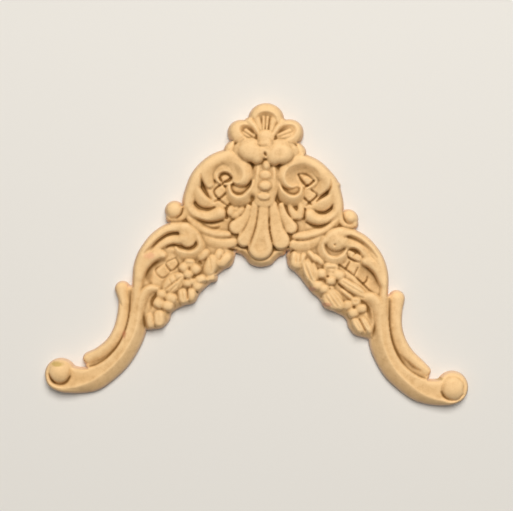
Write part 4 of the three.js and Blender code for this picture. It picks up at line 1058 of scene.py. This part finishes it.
def pulp_finish():
    """Pressed wood pulp: a warm tan, cloudy over centimetres and grainy under a millimetre. It is browner
    in the hollows, mostly painted shade with a little darkening of the pulp itself, paler on the crests,
    mostly a painted highlight with a little wear, and paler along the rim, partly wear and partly a
    painted highlight."""
    pulp = Finish("wood_pulp")
    hollow = pulp.carried("hollow")
    rim = pulp.carried("rim")
    cloud = pulp.noise(14, 3.0, 0.6)
    mottle = pulp.noise(1.8, 4.0, 0.65)
    grain = pulp.noise(0.35, 2.0, 0.6)
    tan = pulp.mix(colour(226, 184, 128), colour(238, 198, 144), cloud.between(0.35, 0.65))
    tone = pulp.mix(tan, colour(196, 150, 94), 0.5 * mottle.between(0.46, 0.70))
    tone = pulp.mix(tone, colour(238, 200, 148), 0.5 + -0.5 * mottle.between(0.30, 0.44))
    # Painted shade: the hollows turn deep brown as shade would darken them, with a little real darkening of
    # the pulp.
    hollow_shade_and_dirt = (hollow + 0.16 * (mottle - 0.5)).between(0.02, 0.62)
    tone = pulp.mix(tone, colour(134, 96, 46), hollow_shade_and_dirt)
    # Painted highlight: the crests turn pale as light catching them would make them, with a little wear.
    crest_highlight_and_wear = (-1.0 * hollow).between(0.05, 0.45)
    tone = pulp.mix(tone, colour(252, 216, 164), 0.5 * crest_highlight_and_wear)
    # Pale along the rim: partly wear of the edge and partly a painted highlight.
    rim_wear_and_highlight = rim.between(0.45, 0.9)
    tone = pulp.mix(tone, colour(240, 208, 186), 0.6 * rim_wear_and_highlight)
    for x, y, wide, high, shade in STAINS:
        tone = pulp.mix(tone, colour(*shade), 0.6 * pulp.spot(x, y, wide, high))
    tone = pulp.mix(tone, colour(176, 132, 82), 0.3 * grain.between(0.6, 0.78))
    fuzz = pulp.bump(0.6 * grain + 0.4 * mottle, 0.09)
    return pulp.done(Base_Color=tone, Roughness=0.6 + 0.15 * grain, Normal=fuzz, Specular_IOR_Level=0.3)


def floor_finish():
    """A plain pale matt floor."""
    return Finish("studio_floor").done(Base_Color=colour(226, 224, 220), Roughness=0.8)


def floor():
    """A wide flat square just under the back."""
    half, under = 1.5, -1e-4
    corners = [(x * half, y * half, under) for x, y in ((-1, -1), (1, -1), (1, 1), (-1, 1))]
    mesh = bpy.data.meshes.new("studio_floor")
    mesh.from_pydata(corners, [], [(0, 1, 2, 3)])
    piece = bpy.data.objects.new("studio_floor", mesh)
    bpy.context.scene.collection.objects.link(piece)
    mesh.materials.append(floor_finish())
    return piece


def aim(thing, place, target):
    """Puts a lamp or camera at a place, turned to look at a target."""
    thing.location = place
    way = thing.location - Vector(target)
    thing.rotation_euler = way.to_track_quat("Z", "Y").to_euler()


def lamp(name, place, target, size, power, tint):
    """A square soft light."""
    light = bpy.data.lights.new(name, "AREA")
    light.size = size
    light.energy = power
    light.color = tint
    thing = bpy.data.objects.new(name, light)
    bpy.context.scene.collection.objects.link(thing)
    aim(thing, place, target)


def studio():
    """One wide soft light from beyond the crest, a weak one from the other side, and pale air."""
    middle = (-0.001, -0.014, 0.0)
    lamp("key", (0.10, 0.52, 1.02), middle, 0.60, 13.4, (1.0, 0.97, 0.92))
    lamp("fill", (-0.45, -0.2, 1.0), middle, 0.9, 1.3, (1.0, 0.97, 0.93))
    air = bpy.data.worlds.new("air")
    air.use_nodes = True
    glow = air.node_tree.nodes["Background"]
    glow.inputs["Color"].default_value = (1.0, 0.97, 0.92, 1.0)
    glow.inputs["Strength"].default_value = 0.13
    bpy.context.scene.world = air
    bpy.context.scene.view_settings.view_transform = "Standard"


# The picture: its width in pixels, how many of them a millimetre of the piece takes, and its turn in
# degrees. The camera's height over the back, its film's width and the place under it are in millimetres.
PICTURE_WIDTH = 513.0
PIXELS_A_MM = 3.52984
TURN = 2.0
EYE_HEIGHT = 450.0
FILM_WIDTH = 36.0
LOOKED_AT = (-1.39, -14.08)


def camera():
    """Straight over the face, turned so that the piece hangs a little clockwise. The lens makes a
    millimetre of the piece take its pixels of the picture."""
    eye = bpy.data.cameras.new("camera")
    eye.sensor_width = FILM_WIDTH
    eye.lens = FILM_WIDTH * EYE_HEIGHT * PIXELS_A_MM / PICTURE_WIDTH
    eye.clip_start = 0.01
    thing = bpy.data.objects.new("camera", eye)
    thing.location = [length / MM_IN_METRE for length in (*LOOKED_AT, EYE_HEIGHT)]
    thing.rotation_euler = (0.0, 0.0, np.radians(TURN))
    bpy.context.scene.collection.objects.link(thing)
    bpy.context.scene.camera = thing


moulding = applique(relief())
moulding.data.materials.append(pulp_finish())
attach(moulding, "root")
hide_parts("applique")
floor()
studio()
camera()
